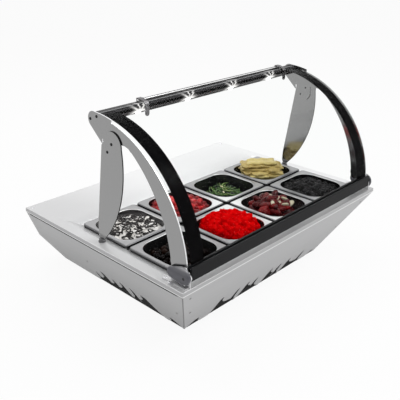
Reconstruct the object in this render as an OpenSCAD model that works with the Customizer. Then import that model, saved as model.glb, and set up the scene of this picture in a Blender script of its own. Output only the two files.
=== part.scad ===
// Countertop refrigerated topping display: a hull-shaped stainless body with eight food pans,
// under a curved glass canopy that tilts forward about two hinges at the front corners.
// Millimetres. The table is z = 0, the customer side is -Y and the left end is -X.

/* [Deck] */
// Width of the deck, left edge to right edge
deck_w = 770; // [764:1:800]
// Depth of the deck, front edge to rear edge
deck_d = 600; // [590:1:640]
// Height of the deck's top face above the table
deck_h = 211; // [200:1:215]
// Thickness of the stainless sheet
sheet = 1.5; // [1:0.1:2]
// Height of the lip folded down around the deck
lip_h = 11; // [9:0.5:13]

/* [Body] */
// Inset of the skirts' bottom edges from the deck's edges
skirt_inset = 113; // [104:1:116]
// Height of the skirts' bottom edges above the table
skirt_clear = 7; // [7:0.5:10]
// Shadow gap between the side lips and the side skirts
side_gap = 4.4; // [2.5:0.1:5]
// Width of the flanges folded inwards at the skirts' top edges
flange_w = 13; // [10:0.5:14]
// Width of the rails of the frame under the deck
rail_w = 10; // [8:0.5:12]
// Distance that the machine housing stands out behind the deck
rear_bulge = 71; // [50:1:80]
// Depth below the deck's top at which the machine housing is widest
crease_drop = 133; // [125:1:140]
// Distance of the rear cover's bottom edge behind the deck
rear_foot = 10; // [4:1:20]
// Height of the base tray's sloping walls
tray_wall_h = 62; // [56:1:66]
// Height of the rubber feet
foot_h = 5; // [4:0.5:6]
// Radius of the rubber feet
foot_r = 15; // [12:0.5:18]

/* [Well and pans] */
// Width of a pan's rim, left to right
pan_w = 166; // [164:0.5:167]
// Depth of a pan's rim, front to back
pan_d = 170; // [168:0.5:172]
// Height of a pan's rim above the deck
rim_h = 7.7; // [6:0.1:9]
// Width of the flat band of a pan's rim
rim_w = 12; // [11:0.5:13]
// Corner radius of a pan's mouth
mouth_r = 40; // [34:1:46]
// Depth of a pan, rim to floor
pan_depth = 60; // [50:1:62]
// Thickness of the pans' sheet
pan_t = 0.8; // [0.7:0.1:1]
// Distance between the centres of neighbouring pans, left to right
pitch_x = 174; // [174:0.5:175]
// Distance between the centres of the two rows of pans
pitch_y = 178; // [178:0.5:180]
// Distance from the deck's front edge to the front row's cells
front_margin = 46; // [44:1:50]
// Distance that the rims overlap the edge of the deck's opening
rim_lap = 6; // [5:0.5:7]
// Depth of the cold well below the deck's top
well_depth = 66; // [64:1:68]
// Thickness of the well's sheet
well_t = 1; // [0.8:0.1:1.2]
// Width of the bars between the pans
bar_w = 14; // [13:0.5:16]
// Height of the bars between the pans
bar_h = 6; // [5:0.5:8]
// Thickness of the foam under the well, below the evaporator tube
foam_t = 16; // [12:1:20]
// Diameter of the evaporator tube
coil_tube_d = 8; // [6:0.5:9]

/* [Canopy] */
// Distance from the deck's side edges to the end plates' outer faces
plate_margin = 28; // [27:0.5:30]
// Thickness of the end plates and of the support blades
plate_t = 3; // [2.5:0.1:3]
// Outer radius of the end plates' arms, which is the bow of the glass
arm_r = 290; // [286:1:294]
// Thickness of the curved glass
glass_t = 5; // [4:0.5:6]
// Width of the black border at each end of the glass
band_w = 38; // [30:1:45]
// Width of the clear strip outside each border
clear_w = 8; // [6:0.5:10]
// Height of the hinge axis above the deck
hinge_z = 21; // [20:0.5:22]
// Distance of the hinge axis behind the deck's front edge
hinge_v = 15; // [15:0.5:17]
// Diameter of the hinge pins
pin_d = 6; // [5:0.5:7]
// Radius of the lobe that carries the light bar at the top of an end plate
lobe_r = 19; // [18:0.5:20]
// Height of the rubber rests under the support blades
rest_h = 8; // [7:0.5:9]
// Distance between the lamps on the light bar
lamp_pitch = 160; // [140:1:170]
// Length of the thin rod above the light bar
rod_len = 533; // [480:1:540]
// Distance of the rod's middle to the right of the canopy's middle
rod_shift = 40; // [30:1:76]
// Diameter of the rod
rod_d = 6; // [5:0.5:7]

/* [Machine compartment] */
// Diameter of the compressor's shell
comp_d = 112; // [100:1:116]
// Height of the compressor's shell
comp_h = 96; // [80:1:100]
// Radius of the condenser fan's blades
fan_r = 50; // [44:0.5:52]
// Number of blades on the condenser fan
fan_blades = 5; // [4:1:7]
// Diameter of the condenser fan's shaft
fan_shaft_d = 6; // [5:0.5:7]
// Number of vent slots in each group on the rear cover
vent_rows = 7; // [5:1:7]
// Length of a vent slot
vent_len = 90; // [70:1:100]
// Diameter of the thermostat's shaft
stat_shaft_d = 6; // [5:0.5:7]
// Diameter of the thermostat's knob
knob_d = 30; // [26:0.5:34]

/* [Fits] */
// Radial clearance of a shaft in its bearing
run_fit = 0.05; // [0.03:0.01:0.08]
// Clearance between pieces that lie beside each other
part_gap = 0.3; // [0.2:0.05:0.4]

/* [Hidden] */

steel = [0.78, 0.79, 0.8];
plate_grey = [0.6, 0.6, 0.61];
black = [0.06, 0.06, 0.07];
chrome = [0.85, 0.85, 0.87];
$fn = 64;
// Overshoot of a cutting solid past the face that it opens
cut = 1;

// Frame of the body: a place is v millimetres behind the deck's front edge and h below its top
front_y = -(deck_d + rear_bulge) / 2;
function vy(v) = front_y + v;
function hz(h) = deck_h - h;
half_w = deck_w / 2;
skirt_drop = deck_h - skirt_clear;
slope = (skirt_inset - sheet) / (skirt_drop - lip_h);
// Thickness of a sloping skirt measured level
skirt_t = sheet * sqrt(1 + slope * slope);
// Inset of a skirt's outer face from the deck's edge at depth h
function inset(h) = sheet + (h - lip_h) * slope;
front_top = lip_h + part_gap;
side_top = lip_h + side_gap;

// Rear cover: its outer line runs from the deck out to the crease and back in to the foot
rear_top_v = deck_d - sheet;
crease_v = deck_d + rear_bulge;
foot_v = deck_d + rear_foot;
rear_slope = (crease_v - rear_top_v) / (crease_drop - front_top);
foot_slope = (crease_v - foot_v) / (skirt_drop - crease_drop);
rear_t = sheet * sqrt(1 + rear_slope * rear_slope);
foot_t = sheet * sqrt(1 + foot_slope * foot_slope);
rear_tilt = atan(rear_slope);

// Well and pans
block_v = front_margin + pitch_y;
cols = 4;
well_hx = pitch_x * (cols - 1) / 2 + pan_w / 2 - rim_lap;
well_hy = pitch_y / 2 + pan_d / 2 - rim_lap;
function pan_x(i) = (i - (cols - 1) / 2) * pitch_x;
function pan_v(row) = block_v + (row - 0.5) * pitch_y;
rim_top = deck_h + rim_h;
mouth_w = pan_w - 2 * rim_w;
mouth_d = pan_d - 2 * rim_w;
pan_floor = rim_top - pan_depth;
well_flange = 9;
coil_r = coil_tube_d / 2;
coil_room = coil_tube_d + 2;
foam_drop = well_depth + well_t + coil_room + foam_t;
foam_back = 22;
foam_edge = flange_w + 9;
// Depth at which the skirts come as close as the foam's straight edge
foam_gap = 3;
foam_knee = lip_h + (foam_edge - sheet - skirt_t - foam_gap) / slope;

// Canopy, drawn about the centre of the glass's bow
bow_v = hinge_v + arm_r - 1;
bow_h = -(hinge_z - 1);
plate_x = half_w - plate_margin;
blade_x = plate_x + plate_t;
inner_x = plate_x - plate_t;
glass_x = inner_x - 0.4;
glass_in = arm_r + part_gap;
glass_out = glass_in + glass_t;
hinge_u = hinge_v - bow_v;
hinge_w = hinge_z + bow_h;
lobe_c = [-4, arm_r - 12];
deck_w_rel = bow_h;
tip_w = deck_w_rel + rest_h + part_gap;
blade_c = [191, 195];
blade_r = 291;
blade_top = [-68, 235];
lobe_screws = [[-16, arm_r - 3], [7, arm_r - 12]];
blade_screws = [[-66, 236], [-50, 215]];
screw_r = 2;
screw_head_r = 3.4;
screw_head_h = 1.4;
cover_in = blade_x + 0.7;
cover_depth = 7;
bracket_in = plate_x + 0.4;

// Machine compartment
tray_t = sheet;
tray_top = foot_h + tray_t;
fan_v = block_v + well_hy + foam_back + 108;
fan_z = tray_top + fan_r + 12;
fan_x = -128;
coil_x = fan_x - 62;
comp_x = 70;
comp_v = fan_v + 12;
suction_h = 62;
hot_h = 44;
stub_len = 6;
// Condenser block behind the fan
fin_w = 34;
fin_hy = fan_r + 8;
fin_top = fan_z + fan_r + 8;
fin_pitch = 2 * fin_hy / 20;
function fin_row(r) = tray_top + 16 + r * (fin_top - tray_top - 32) / 3;
fin_end = 6;

// An outline in (y, z) carried along X
module along_x(x1, x2) {
    translate([x1, 0, 0]) rotate([90, 0, 90]) linear_extrude(x2 - x1) children();
}

// An outline in (x, z) carried along Y
module along_y(y1, y2) {
    translate([0, y2, 0]) rotate([90, 0, 0]) linear_extrude(y2 - y1) children();
}

module block(low, high) {
    translate(low) cube(high - low);
}

// A cylinder about an axis along X, at (y, z)
module rod_x(x1, x2, y, z, r) {
    translate([x1, y, z]) rotate([0, 90, 0]) cylinder(h = x2 - x1, r = r);
}

module rod_z(x, y, z1, z2, r) {
    translate([x, y, z1]) cylinder(h = z2 - z1, r = r);
}

module round_rect(w, d, r) {
    square([w - 2 * r, d], center = true);
    square([w, d - 2 * r], center = true);
    for (sx = [-1, 1], sy = [-1, 1])
        translate([sx * (w / 2 - r), sy * (d / 2 - r)]) circle(r);
}

// The same piece on the left and on the right
module both_sides() {
    children();
    mirror([1, 0, 0]) children();
}

// A screw with a pan head, standing on z = 0 with its shank below
module screw(shank = 5, r = screw_r) {
    translate([0, 0, -shank]) cylinder(h = shank, r = r, $fn = 24);
    rotate_extrude($fn = 32)
        polygon([[0, 0], [screw_head_r, 0], [screw_head_r, 0.6], [screw_head_r - 1.2, screw_head_h],
            [0.8, screw_head_h], [0.8, 0.7], [0, 0.7]]);
}

// Points of a curved line from a to c that is pulled towards b
function bow_line(a, b, c, n) =
    [for (i = [0:n]) let (t = i / n) (1 - t) * (1 - t) * a + 2 * t * (1 - t) * b + t * t * c];

// One tongue of flame from x = 0 to its root at w, with a blunt tip that leans towards +x
module tongue(w, h, root, lean) {
    waist = [lean * (0.25 + lean / 170), 0.75 * h];
    tip = [lean, h];
    barb = [lean + 2.5, h - 2];
    hollow = [lean + 1, root + 0.15 * (h - root)];
    polygon(concat(
        [[-8, -cut]],
        bow_line([-8, 0], [0, 0.1 * h], waist, 5),
        bow_line(waist, [0.5 * lean, 0.95 * h], tip, 3),
        bow_line(barb, hollow, [max(w, lean + 4), root], 6),
        [[max(w, lean + 4) + 3, root], [max(w, lean + 4) + 3, -cut]]));
}

// Start, width, height, root height and lean of each tongue along the front skirt's bottom edge
front_flames = [[-266, 44, 22, 2, 33], [-182, 66, 57, 20, 16], [-118, 16, 54, 14, 14], [-80, 36, 58, 31, 12],
    [-42, 38, 53, 8, 11], [16, 36, 54, 28, 16], [56, 26, 51, 12, 17], [99, 64, 51, 19, 15],
    [164, 20, 49, 10, 15], [232, 30, 15, 0, 24]];
// The same along the side skirts, from front to back
side_flames = [[120, 42, 24, 3, 28], [186, 68, 59, 28, 46], [258, 30, 63, 16, 12], [295, 42, 64, 28, 14],
    [335, 34, 55, 26, 12], [369, 50, 63, 22, 20], [418, 20, 40, 4, 10]];

module flames(rows) {
    for (f = rows) translate([f[0], 0]) tongue(f[1], f[2], f[3], f[4]);
}

// Region that the side skirts fill, seen from the left, in (y, z)
module side_region(top) {
    polygon([
        [vy(inset(top) + skirt_t + part_gap), hz(top)],
        [vy(skirt_inset + skirt_t + part_gap), skirt_clear],
        [vy(foot_v), skirt_clear],
        [vy(crease_v), hz(crease_drop)],
        [vy(rear_top_v + (top - front_top) * rear_slope), hz(top)]]);
}

// Region between the side skirts' faces, seen from the front, with its edges moved in by d
module middle_region(top, d) {
    polygon([
        [-half_w + inset(top) + d, hz(top)],
        [half_w - inset(top) - d, hz(top)],
        [half_w - skirt_inset - d, skirt_clear],
        [-half_w + skirt_inset + d, skirt_clear]]);
}

// The low screws sit just above the tray's wall
low_screw = deck_h - foot_h - tray_wall_h - 19;
side_screws = [[87, low_screw - 4], [432, low_screw]];
front_screws = [[301, low_screw - 8], [346, 37]];

module side_skirt() {
    color(steel) {
        difference() {
            intersection() {
                along_y(vy(0), vy(crease_v))
                    polygon([
                        [-half_w + inset(side_top), hz(side_top)],
                        [-half_w + skirt_inset, skirt_clear],
                        [-half_w + skirt_inset + skirt_t, skirt_clear],
                        [-half_w + inset(side_top) + skirt_t, hz(side_top)]]);
                along_x(-half_w, 0) side_region(side_top);
            }
            along_x(-half_w, 0) translate([front_y, skirt_clear]) flames(side_flames);
            for (s = side_screws) rod_x(-half_w, 0, vy(s[0]), hz(s[1]), screw_r);
        }
        block([-half_w + inset(side_top) + skirt_t / 2, vy(flange_w + 6), hz(side_top + sheet)],
            [-half_w + inset(side_top) + flange_w, vy(deck_d - flange_w - 6), hz(side_top)]);
    }
}

module left_skirt() {
    side_skirt();
}

module right_skirt() {
    mirror([1, 0, 0]) side_skirt();
}

module front_skirt() {
    color(steel) difference() {
        intersection() {
            along_x(-half_w, half_w)
                polygon([
                    [vy(inset(front_top)), hz(front_top)],
                    [vy(skirt_inset), skirt_clear],
                    [vy(skirt_inset + skirt_t), skirt_clear],
                    [vy(inset(front_top + sheet) + skirt_t), hz(front_top + sheet)],
                    [vy(inset(front_top) + flange_w), hz(front_top + sheet)],
                    [vy(inset(front_top) + flange_w), hz(front_top)]]);
            along_y(vy(0), vy(skirt_inset + flange_w)) middle_region(front_top, 0);
        }
        along_y(vy(0), vy(skirt_inset + flange_w)) translate([0, skirt_clear]) flames(front_flames);
        for (s = front_screws, m = [-1, 1])
            translate([m * s[0], vy(0), hz(s[1])]) rotate([-90, 0, 0])
                cylinder(h = skirt_inset + flange_w, r = screw_r);
    }
}

module deck_top() {
    color(steel) difference() {
        block([-half_w, vy(0), hz(lip_h)], [half_w, vy(deck_d), deck_h]);
        block([-half_w + sheet, vy(sheet), hz(lip_h) - cut],
            [half_w - sheet, vy(deck_d - sheet), deck_h - sheet]);
        block([-well_hx, vy(block_v - well_hy), 0], [well_hx, vy(block_v + well_hy), deck_h + cut]);
        both_sides() for (p = bracket_screws)
            rod_z(p[0], vy(p[1]), hz(lip_h), deck_h + cut, screw_r);
        both_sides() rod_z(half_w - 14, vy(deck_d - 18), hz(lip_h), deck_h + cut, screw_r);
    }
}

// Black frame of rails under the deck, which the skirts hang from
module subframe() {
    low = hz(front_top);
    color(black) {
        difference() {
            block([-half_w + sheet + 1, vy(sheet + 2), low],
                [half_w - sheet - 1, vy(deck_d - sheet - 2), deck_h - sheet]);
            block([-half_w + sheet + 1 + rail_w, vy(sheet + 2 + rail_w), low - cut],
                [half_w - sheet - 1 - rail_w, vy(deck_d - sheet - 2 - rail_w), deck_h]);
            for (p = bracket_screws, m = [-1, 1])
                rod_z(m * p[0], vy(p[1]), low - cut, deck_h, screw_r);
            both_sides() rod_z(half_w - 14, vy(deck_d - 18), low - cut, deck_h, screw_r);
        }
        both_sides() block([half_w - sheet - 1 - rail_w, vy(flange_w + 6), hz(side_top)],
            [half_w - sheet - 1, vy(deck_d - flange_w - 6), low]);
    }
}

// A place on the rear cover's upper face: x across, s down the slope, with z standing out of it
module on_rear(x, s) {
    translate([x, vy(rear_top_v), hz(front_top)]) rotate([rear_tilt - 90, 0, 0])
        translate([0, s, 0]) children();
}

vent_x = [-150, 40];
vent_s = 34;
vent_step = 10;
vent_slot = 4;
control_s = 64;
switch_x = 218;
stat_x = 262;
inlet_x = -262;
switch_cut = [26, 18];
gland_r = 8;

module rear_cover() {
    color(steel) difference() {
        intersection() {
            along_x(-half_w, half_w)
                polygon([
                    [vy(rear_top_v), hz(front_top)],
                    [vy(crease_v), hz(crease_drop)],
                    [vy(foot_v), skirt_clear],
                    [vy(foot_v - foot_t), skirt_clear],
                    [vy(crease_v - foot_t), hz(crease_drop)],
                    [vy(rear_top_v + sheet * rear_slope - rear_t), hz(front_top + sheet)],
                    [vy(rear_top_v - flange_w), hz(front_top + sheet)],
                    [vy(rear_top_v - flange_w), hz(front_top)]]);
            along_y(vy(deck_d - 2 * flange_w), vy(crease_v)) middle_region(front_top, skirt_t + part_gap);
        }
        for (x = vent_x, i = [0:vent_rows - 1])
            on_rear(x, vent_s + i * vent_step)
                translate([-vent_len / 2, 0, -3 * sheet]) cube([vent_len, vent_slot, 4 * sheet]);
        on_rear(switch_x, control_s)
            translate([-switch_cut[0] / 2, -switch_cut[1] / 2, -3 * sheet])
                cube([switch_cut[0], switch_cut[1], 4 * sheet]);
        on_rear(stat_x, control_s) translate([0, 0, -3 * sheet]) cylinder(h = 4 * sheet, d = stat_shaft_d + 4);
        on_rear(inlet_x, control_s) translate([0, 0, -3 * sheet]) cylinder(h = 4 * sheet, r = gland_r);
    }
}

module base_tray() {
    top = foot_h + tray_wall_h;
    d = skirt_t + part_gap;
    color(black) difference() {
        intersection() {
            along_x(-half_w, half_w)
                polygon([
                    [vy(inset(hz(top)) + d), top],
                    [vy(inset(hz(foot_h)) + d), foot_h],
                    [vy(foot_v - foot_t - 3), foot_h],
                    [vy(foot_v - foot_t - 3), top]]);
            along_y(vy(0), vy(crease_v))
                polygon([
                    [-half_w + inset(hz(top)) + d, top],
                    [half_w - inset(hz(top)) - d, top],
                    [half_w - inset(hz(foot_h)) - d, foot_h],
                    [-half_w + inset(hz(foot_h)) + d, foot_h]]);
        }
        intersection() {
            along_x(-half_w, half_w)
                polygon([
                    [vy(inset(hz(top + cut)) + d + skirt_t), top + cut],
                    [vy(inset(hz(tray_top)) + d + skirt_t), tray_top],
                    [vy(crease_v + cut), tray_top],
                    [vy(crease_v + cut), top + cut]]);
            along_y(vy(0), vy(crease_v + cut))
                polygon([
                    [-half_w + inset(hz(top + cut)) + d + skirt_t, top + cut],
                    [half_w - inset(hz(top + cut)) - d - skirt_t, top + cut],
                    [half_w - inset(hz(tray_top)) - d - skirt_t, tray_top],
                    [-half_w + inset(hz(tray_top)) + d + skirt_t, tray_top]]);
        }
    }
}

foot_x = half_w - skirt_inset - foot_r - 16;
foot_vs = [skirt_inset + foot_r + 16, foot_v - foot_r - 24];

module rubber_feet() {
    color(black) for (m = [-1, 1], v = foot_vs)
        rod_z(m * foot_x, vy(v), 0, foot_h, foot_r);
}

module cold_well() {
    top = deck_h - sheet;
    low = hz(well_depth + well_t);
    x = well_hx + well_t;
    y = well_hy + well_t;
    color(steel) difference() {
        union() {
            block([-x, vy(block_v - y), low], [x, vy(block_v + y), top]);
            block([-x - well_flange, vy(block_v - y - well_flange), top - well_t],
                [x + well_flange, vy(block_v + y + well_flange), top]);
        }
        block([-well_hx, vy(block_v - well_hy), low + well_t], [well_hx, vy(block_v + well_hy), top + cut]);
    }
}

module insulation() {
    top = deck_h - sheet - well_t;
    low = hz(foam_drop);
    knee = hz(foam_knee);
    low_in = inset(foam_drop) + skirt_t + foam_gap;
    back = vy(block_v + well_hy + well_t + foam_back);
    x = well_hx + well_t + part_gap;
    y = well_hy + well_t + part_gap;
    color([0.93, 0.9, 0.75]) difference() {
        intersection() {
            along_x(-half_w, half_w)
                polygon([[vy(foam_edge), top], [vy(foam_edge), knee], [vy(low_in), low], [back, low], [back, top]]);
            along_y(vy(0), back)
                polygon([
                    [-half_w + foam_edge, top], [-half_w + foam_edge, knee], [-half_w + low_in, low],
                    [half_w - low_in, low], [half_w - foam_edge, knee], [half_w - foam_edge, top]]);
        }
        block([-x, vy(block_v - y), hz(well_depth + well_t) - part_gap], [x, vy(block_v + y), top + cut]);
        block([-coil_hx - 16, vy(block_v - coil_hy - 8), low + foam_t],
            [coil_hx + 16, vy(block_v + coil_hy + tail_bend), deck_h - cut]);
        for (x = tail_x) translate([x, vy(block_v), coil_z]) rotate([-90, 0, 0])
            cylinder(h = well_hy + foam_back + 20, r = coil_r + 1);
    }
}

// Evaporator: level runs along X under the well's floor, joined by bends at their ends
coil_runs = 5;
coil_hx = 280;
coil_hy = 125;
coil_step = 2 * coil_hy / (coil_runs - 1);
coil_z = hz(well_depth + well_t) - coil_r - part_gap;
straight = coil_hx - coil_step / 2;
feed_r = 2;
tail_bend = 16;
tail_x = [straight + tail_bend, -coil_hx - 10];
tail_end = block_v + well_hy + foam_back + 12;

module tube_run(a, b, r) {
    d = b - a;
    len = norm(d);
    translate(a) rotate([0, acos(d[2] / len), atan2(d[1], d[0])]) cylinder(h = len, r = r, $fn = 24);
}

module tube_path(points, r) {
    for (i = [0:len(points) - 2]) tube_run(points[i], points[i + 1], r);
    for (i = [1:len(points) - 2]) translate(points[i]) sphere(r, $fn = 24);
}

module evaporator_coil() {
    bend = coil_step / 2;
    color([0.72, 0.45, 0.3]) {
        for (i = [0:coil_runs - 1])
            rod_x(-straight, straight, vy(block_v - coil_hy + i * coil_step), coil_z, coil_r, $fn = 24);
        for (i = [0:coil_runs - 2])
            translate([(i % 2 == 0 ? 1 : -1) * straight, vy(block_v - coil_hy + (i + 0.5) * coil_step), coil_z])
                rotate([0, 0, i % 2 == 0 ? -90 : 90])
                    rotate_extrude(angle = 180, $fn = 48) translate([bend, 0]) circle(coil_r, $fn = 24);
        translate([straight, vy(block_v + coil_hy) + tail_bend, coil_z]) rotate([0, 0, -90])
            rotate_extrude(angle = 90, $fn = 48) translate([tail_bend, 0]) circle(coil_r, $fn = 24);
        tube_run([tail_x[0], vy(block_v + coil_hy) + tail_bend, coil_z], [tail_x[0], vy(tail_end), coil_z], coil_r);
    }
}

module pan(row, i) {
    color([0.7, 0.7, 0.72]) translate([pan_x(i), vy(pan_v(row)), 0]) difference() {
        union() {
            translate([0, 0, deck_h]) linear_extrude(rim_h) round_rect(pan_w, pan_d, 9);
            translate([0, 0, pan_floor]) linear_extrude(pan_depth)
                round_rect(mouth_w + 2 * pan_t, mouth_d + 2 * pan_t, mouth_r + pan_t);
        }
        translate([0, 0, deck_h - cut]) linear_extrude(rim_h + cut - pan_t) difference() {
            round_rect(pan_w - 2 * pan_t, pan_d - 2 * pan_t, 9 - pan_t);
            round_rect(mouth_w + 2 * pan_t, mouth_d + 2 * pan_t, mouth_r + pan_t);
        }
        translate([0, 0, pan_floor + pan_t]) linear_extrude(pan_depth) round_rect(mouth_w, mouth_d, mouth_r);
    }
}

// Height of each heap's top above the pan's rim, front row then rear row, left to right
rise = [[-8, 14, 10, -3], [2, 3, -12, 20]];
heap_r = 190;

// A heap of food: a low dome that fills the pan to its walls
module heap(row, i, tint) {
    top = rim_top + rise[row][i];
    color(tint) translate([pan_x(i), vy(pan_v(row)), 0]) intersection() {
        translate([0, 0, pan_floor + pan_t]) linear_extrude(pan_depth + 40)
            round_rect(mouth_w - 2 * part_gap, mouth_d - 2 * part_gap, mouth_r - part_gap);
        translate([0, 0, top - heap_r]) sphere(heap_r, $fn = 96);
    }
}

module centre_bar() {
    x = well_hx - part_gap;
    color(black) {
        block([-x, vy(block_v) - bar_w / 2, deck_h - bar_h], [x, vy(block_v) + bar_w / 2, deck_h]);
        block([-x, vy(block_v) - bar_w, deck_h - bar_h - 2], [x, vy(block_v) + bar_w, deck_h - bar_h]);
        both_sides() block([x - 6, vy(block_v) - 3.4, deck_h], [x + 6, vy(block_v) + 3.4, deck_h + 1.2]);
    }
}

module cross_bars() {
    y1 = bar_w / 2 + part_gap;
    y2 = well_hy - part_gap;
    color(black) for (i = [0:cols - 2], m = [-1, 1]) {
        x = (pan_x(i) + pan_x(i + 1)) / 2;
        translate([x, vy(block_v), 0]) mirror([0, m < 0 ? 1 : 0, 0]) {
            block([-bar_w / 2, y1, deck_h - bar_h], [bar_w / 2, y2, deck_h]);
            block([-3.4, y2 - 6, deck_h], [3.4, y2 + 6, deck_h + 1.2]);
        }
    }
}

module compressor() {
    r = comp_d / 2;
    color(black) translate([comp_x, vy(comp_v), tray_top]) {
        for (sx = [-1, 1], sy = [-1, 1]) translate([sx * 70, sy * 52, 0]) cylinder(h = 8, r = 9);
        translate([-82, -64, 8]) cube([164, 128, 2.5]);
        translate([0, 0, 10.5]) rotate_extrude()
            polygon(concat([[0, 0], [r - 8, 0], [r, 8]],
                bow_line([r, comp_h - 30], [r, comp_h], [0, comp_h], 8)));
        translate([r - 4, -22, 30]) cube([24, 44, 40]);
        for (p = [[30, suction_h], [-30, hot_h]])
            translate([p[0], 0, p[1]]) rotate([90, 0, 0]) cylinder(h = r + stub_len, r = 5);
    }
}

// Finned condenser block with its tube ends
module condenser_coil() {
    color([0.75, 0.76, 0.78]) {
        for (i = [0:19])
            block([coil_x - fin_w / 2, vy(fan_v) - fin_hy + i * fin_pitch, tray_top],
                [coil_x + fin_w / 2, vy(fan_v) - fin_hy + i * fin_pitch + 1, fin_top]);
        for (r = [0:3], c = [-1, 1])
            translate([coil_x + c * 9, vy(fan_v) - fin_hy - fin_end, fin_row(r)])
                rotate([-90, 0, 0]) cylinder(h = 2 * (fin_hy + fin_end), r = 4, $fn = 24);
    }
}

module fan_shroud() {
    x1 = coil_x + fin_w / 2 + part_gap;
    x2 = fan_x + 15;
    color(black) difference() {
        block([x1, vy(fan_v) - fin_hy, tray_top], [x2, vy(fan_v) + fin_hy, fin_top]);
        block([x1 - cut, vy(fan_v) - fin_hy + 3, tray_top + 3], [x2 - 3, vy(fan_v) + fin_hy - 3, fin_top - 3]);
        rod_x(x1, x2 + cut, vy(fan_v), fan_z, fan_r + 2.5);
    }
}

motor_x = fan_x + 24;

module fan_motor() {
    color([0.35, 0.35, 0.37]) {
        rod_x(motor_x, motor_x + 38, vy(fan_v), fan_z, 24);
        rod_x(fan_x - 9, motor_x, vy(fan_v), fan_z, fan_shaft_d / 2);
        block([motor_x + 8, vy(fan_v) - 14, tray_top], [motor_x + 30, vy(fan_v) + 14, fan_z - 20]);
        block([motor_x - 4, vy(fan_v) - 24, tray_top], [motor_x + 34, vy(fan_v) + 24, tray_top + 3]);
    }
}

module fan_rotor() {
    color([0.5, 0.5, 0.52]) difference() {
        union() {
            rod_x(fan_x - 12, fan_x + 10, vy(fan_v), fan_z, 14);
            for (i = [0:fan_blades - 1])
                translate([fan_x - 1, vy(fan_v), fan_z]) rotate([i * 360 / fan_blades, 0, 0])
                    intersection() {
                        translate([0, 0, 12]) rotate([0, 0, 32]) translate([-1, -17, 0]) cube([2, 34, fan_r]);
                        rod_x(-20, 20, 0, 0, fan_r);
                    }
        }
        rod_x(fan_x - 10, fan_x + 10 + cut, vy(fan_v), fan_z, fan_shaft_d / 2 + run_fit);
    }
}

// Suction line to the compressor, hot line to the condenser and thin feed line back to the evaporator
module refrigerant_lines() {
    r = 3.5;
    back = vy(tail_end);
    stub_y = vy(comp_v) - comp_d / 2 - stub_len;
    fin_y = vy(fan_v) - fin_hy - fin_end;
    suction_z = tray_top + suction_h;
    hot_z = tray_top + hot_h;
    color([0.72, 0.45, 0.3]) {
        tube_path([[tail_x[0], back, coil_z], [tail_x[0], back + 20, coil_z], [comp_x + 30, back + 20, coil_z],
            [comp_x + 30, back + 20, suction_z], [comp_x + 30, stub_y, suction_z]], r);
        tube_path([[comp_x - 30, stub_y, hot_z], [comp_x - 30, back + 8, hot_z], [coil_x + 9, back + 8, hot_z],
            [coil_x + 9, back + 8, fin_row(3)], [coil_x + 9, fin_y, fin_row(3)]], r);
        tube_path([[-straight, vy(block_v - coil_hy), coil_z], [tail_x[1], vy(block_v - coil_hy), coil_z],
            [tail_x[1], back + 16, coil_z], [coil_x - 9, back + 16, coil_z],
            [coil_x - 9, back + 16, fin_row(0)], [coil_x - 9, fin_y, fin_row(0)]], feed_r);
    }
}

module switch_housing() {
    w = switch_cut[0];
    d = switch_cut[1];
    color(black) on_rear(switch_x, control_s) difference() {
        union() {
            translate([-w / 2 - 2.5, -d / 2 - 2.5, part_gap]) cube([w + 5, d + 5, 2]);
            translate([-w / 2 + 0.4, -d / 2 + 0.4, -16]) cube([w - 0.8, d - 0.8, 17]);
        }
        translate([-w / 2 + 3, -d / 2 + 2.4, -9]) cube([w - 6, d - 4.8, 20]);
        translate([-w / 2 + 1.5, 0, -2]) rotate([0, 90, 0]) cylinder(h = w - 3, r = 1.5 + run_fit);
    }
}

rock_angle = 9;

// Rocker with a raised end, on two short trunnions
module rocker_switch() {
    w = switch_cut[0] - 7;
    color([0.5, 0.06, 0.05]) on_rear(switch_x, control_s) translate([0, 0, -2]) {
        rotate([0, 90, 0]) translate([0, 0, -w / 2 - 1.7]) cylinder(h = w + 3.4, r = 1.5);
        rotate([-rock_angle, 0, 0]) translate([-w / 2, 0, 0]) rotate([90, 0, 90]) linear_extrude(w)
            polygon([[-5.6, 2], [-4, -4], [4, -4], [5.6, 2], [5.4, 6.4], [0, 5], [-5.4, 6.4]]);
    }
}

module thermostat() {
    color([0.4, 0.4, 0.42]) on_rear(stat_x, control_s) {
        translate([-17, -14, -28]) cube([34, 28, 28 - sheet - part_gap]);
        translate([0, 0, -sheet - 1]) cylinder(h = sheet + 12, r = stat_shaft_d / 2);
    }
}

module thermostat_knob() {
    r = knob_d / 2;
    color(black) on_rear(stat_x, control_s) difference() {
        translate([0, 0, 1]) rotate_extrude()
            polygon([[0, 0], [r, 0], [r, 3], [r - 3, 5], [r - 4, 15], [r - 6, 16], [0, 16]]);
        cylinder(h = 12, r = stat_shaft_d / 2 + run_fit);
        for (i = [0:11]) rotate([0, 0, i * 30]) translate([r - 2.6, 0, 6.5]) cylinder(h = 12, r = 1.2, $fn = 24);
        translate([-0.6, -r + 5, 16]) cube([1.2, r - 7, 2]);
    }
}

module power_inlet() {
    color(black) on_rear(inlet_x, control_s) difference() {
        union() {
            translate([0, 0, part_gap]) cylinder(h = 4, r = 13);
            translate([0, 0, 4]) cylinder(h = 12, r1 = 11, r2 = 9);
            translate([0, 0, -14]) cylinder(h = 15, r = gland_r - 0.3);
            translate([0, 0, -10]) cylinder(h = 6, r = 12);
        }
        translate([0, 0, -15]) cylinder(h = 32, r = 4.5);
    }
}

// Hinge at a front corner. A peg on the bracket runs in a curved slot of the end plate and stops it
open_angle = 60;
peg_r = 2;
peg_reach = 17;
peg_at = 76;
peg_c = peg_reach * [cos(peg_at), sin(peg_at)];
bracket_screws = [[blade_x + 6, 71], [blade_x + 14, 49]];
cover_screw = [12, 7.5];

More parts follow.
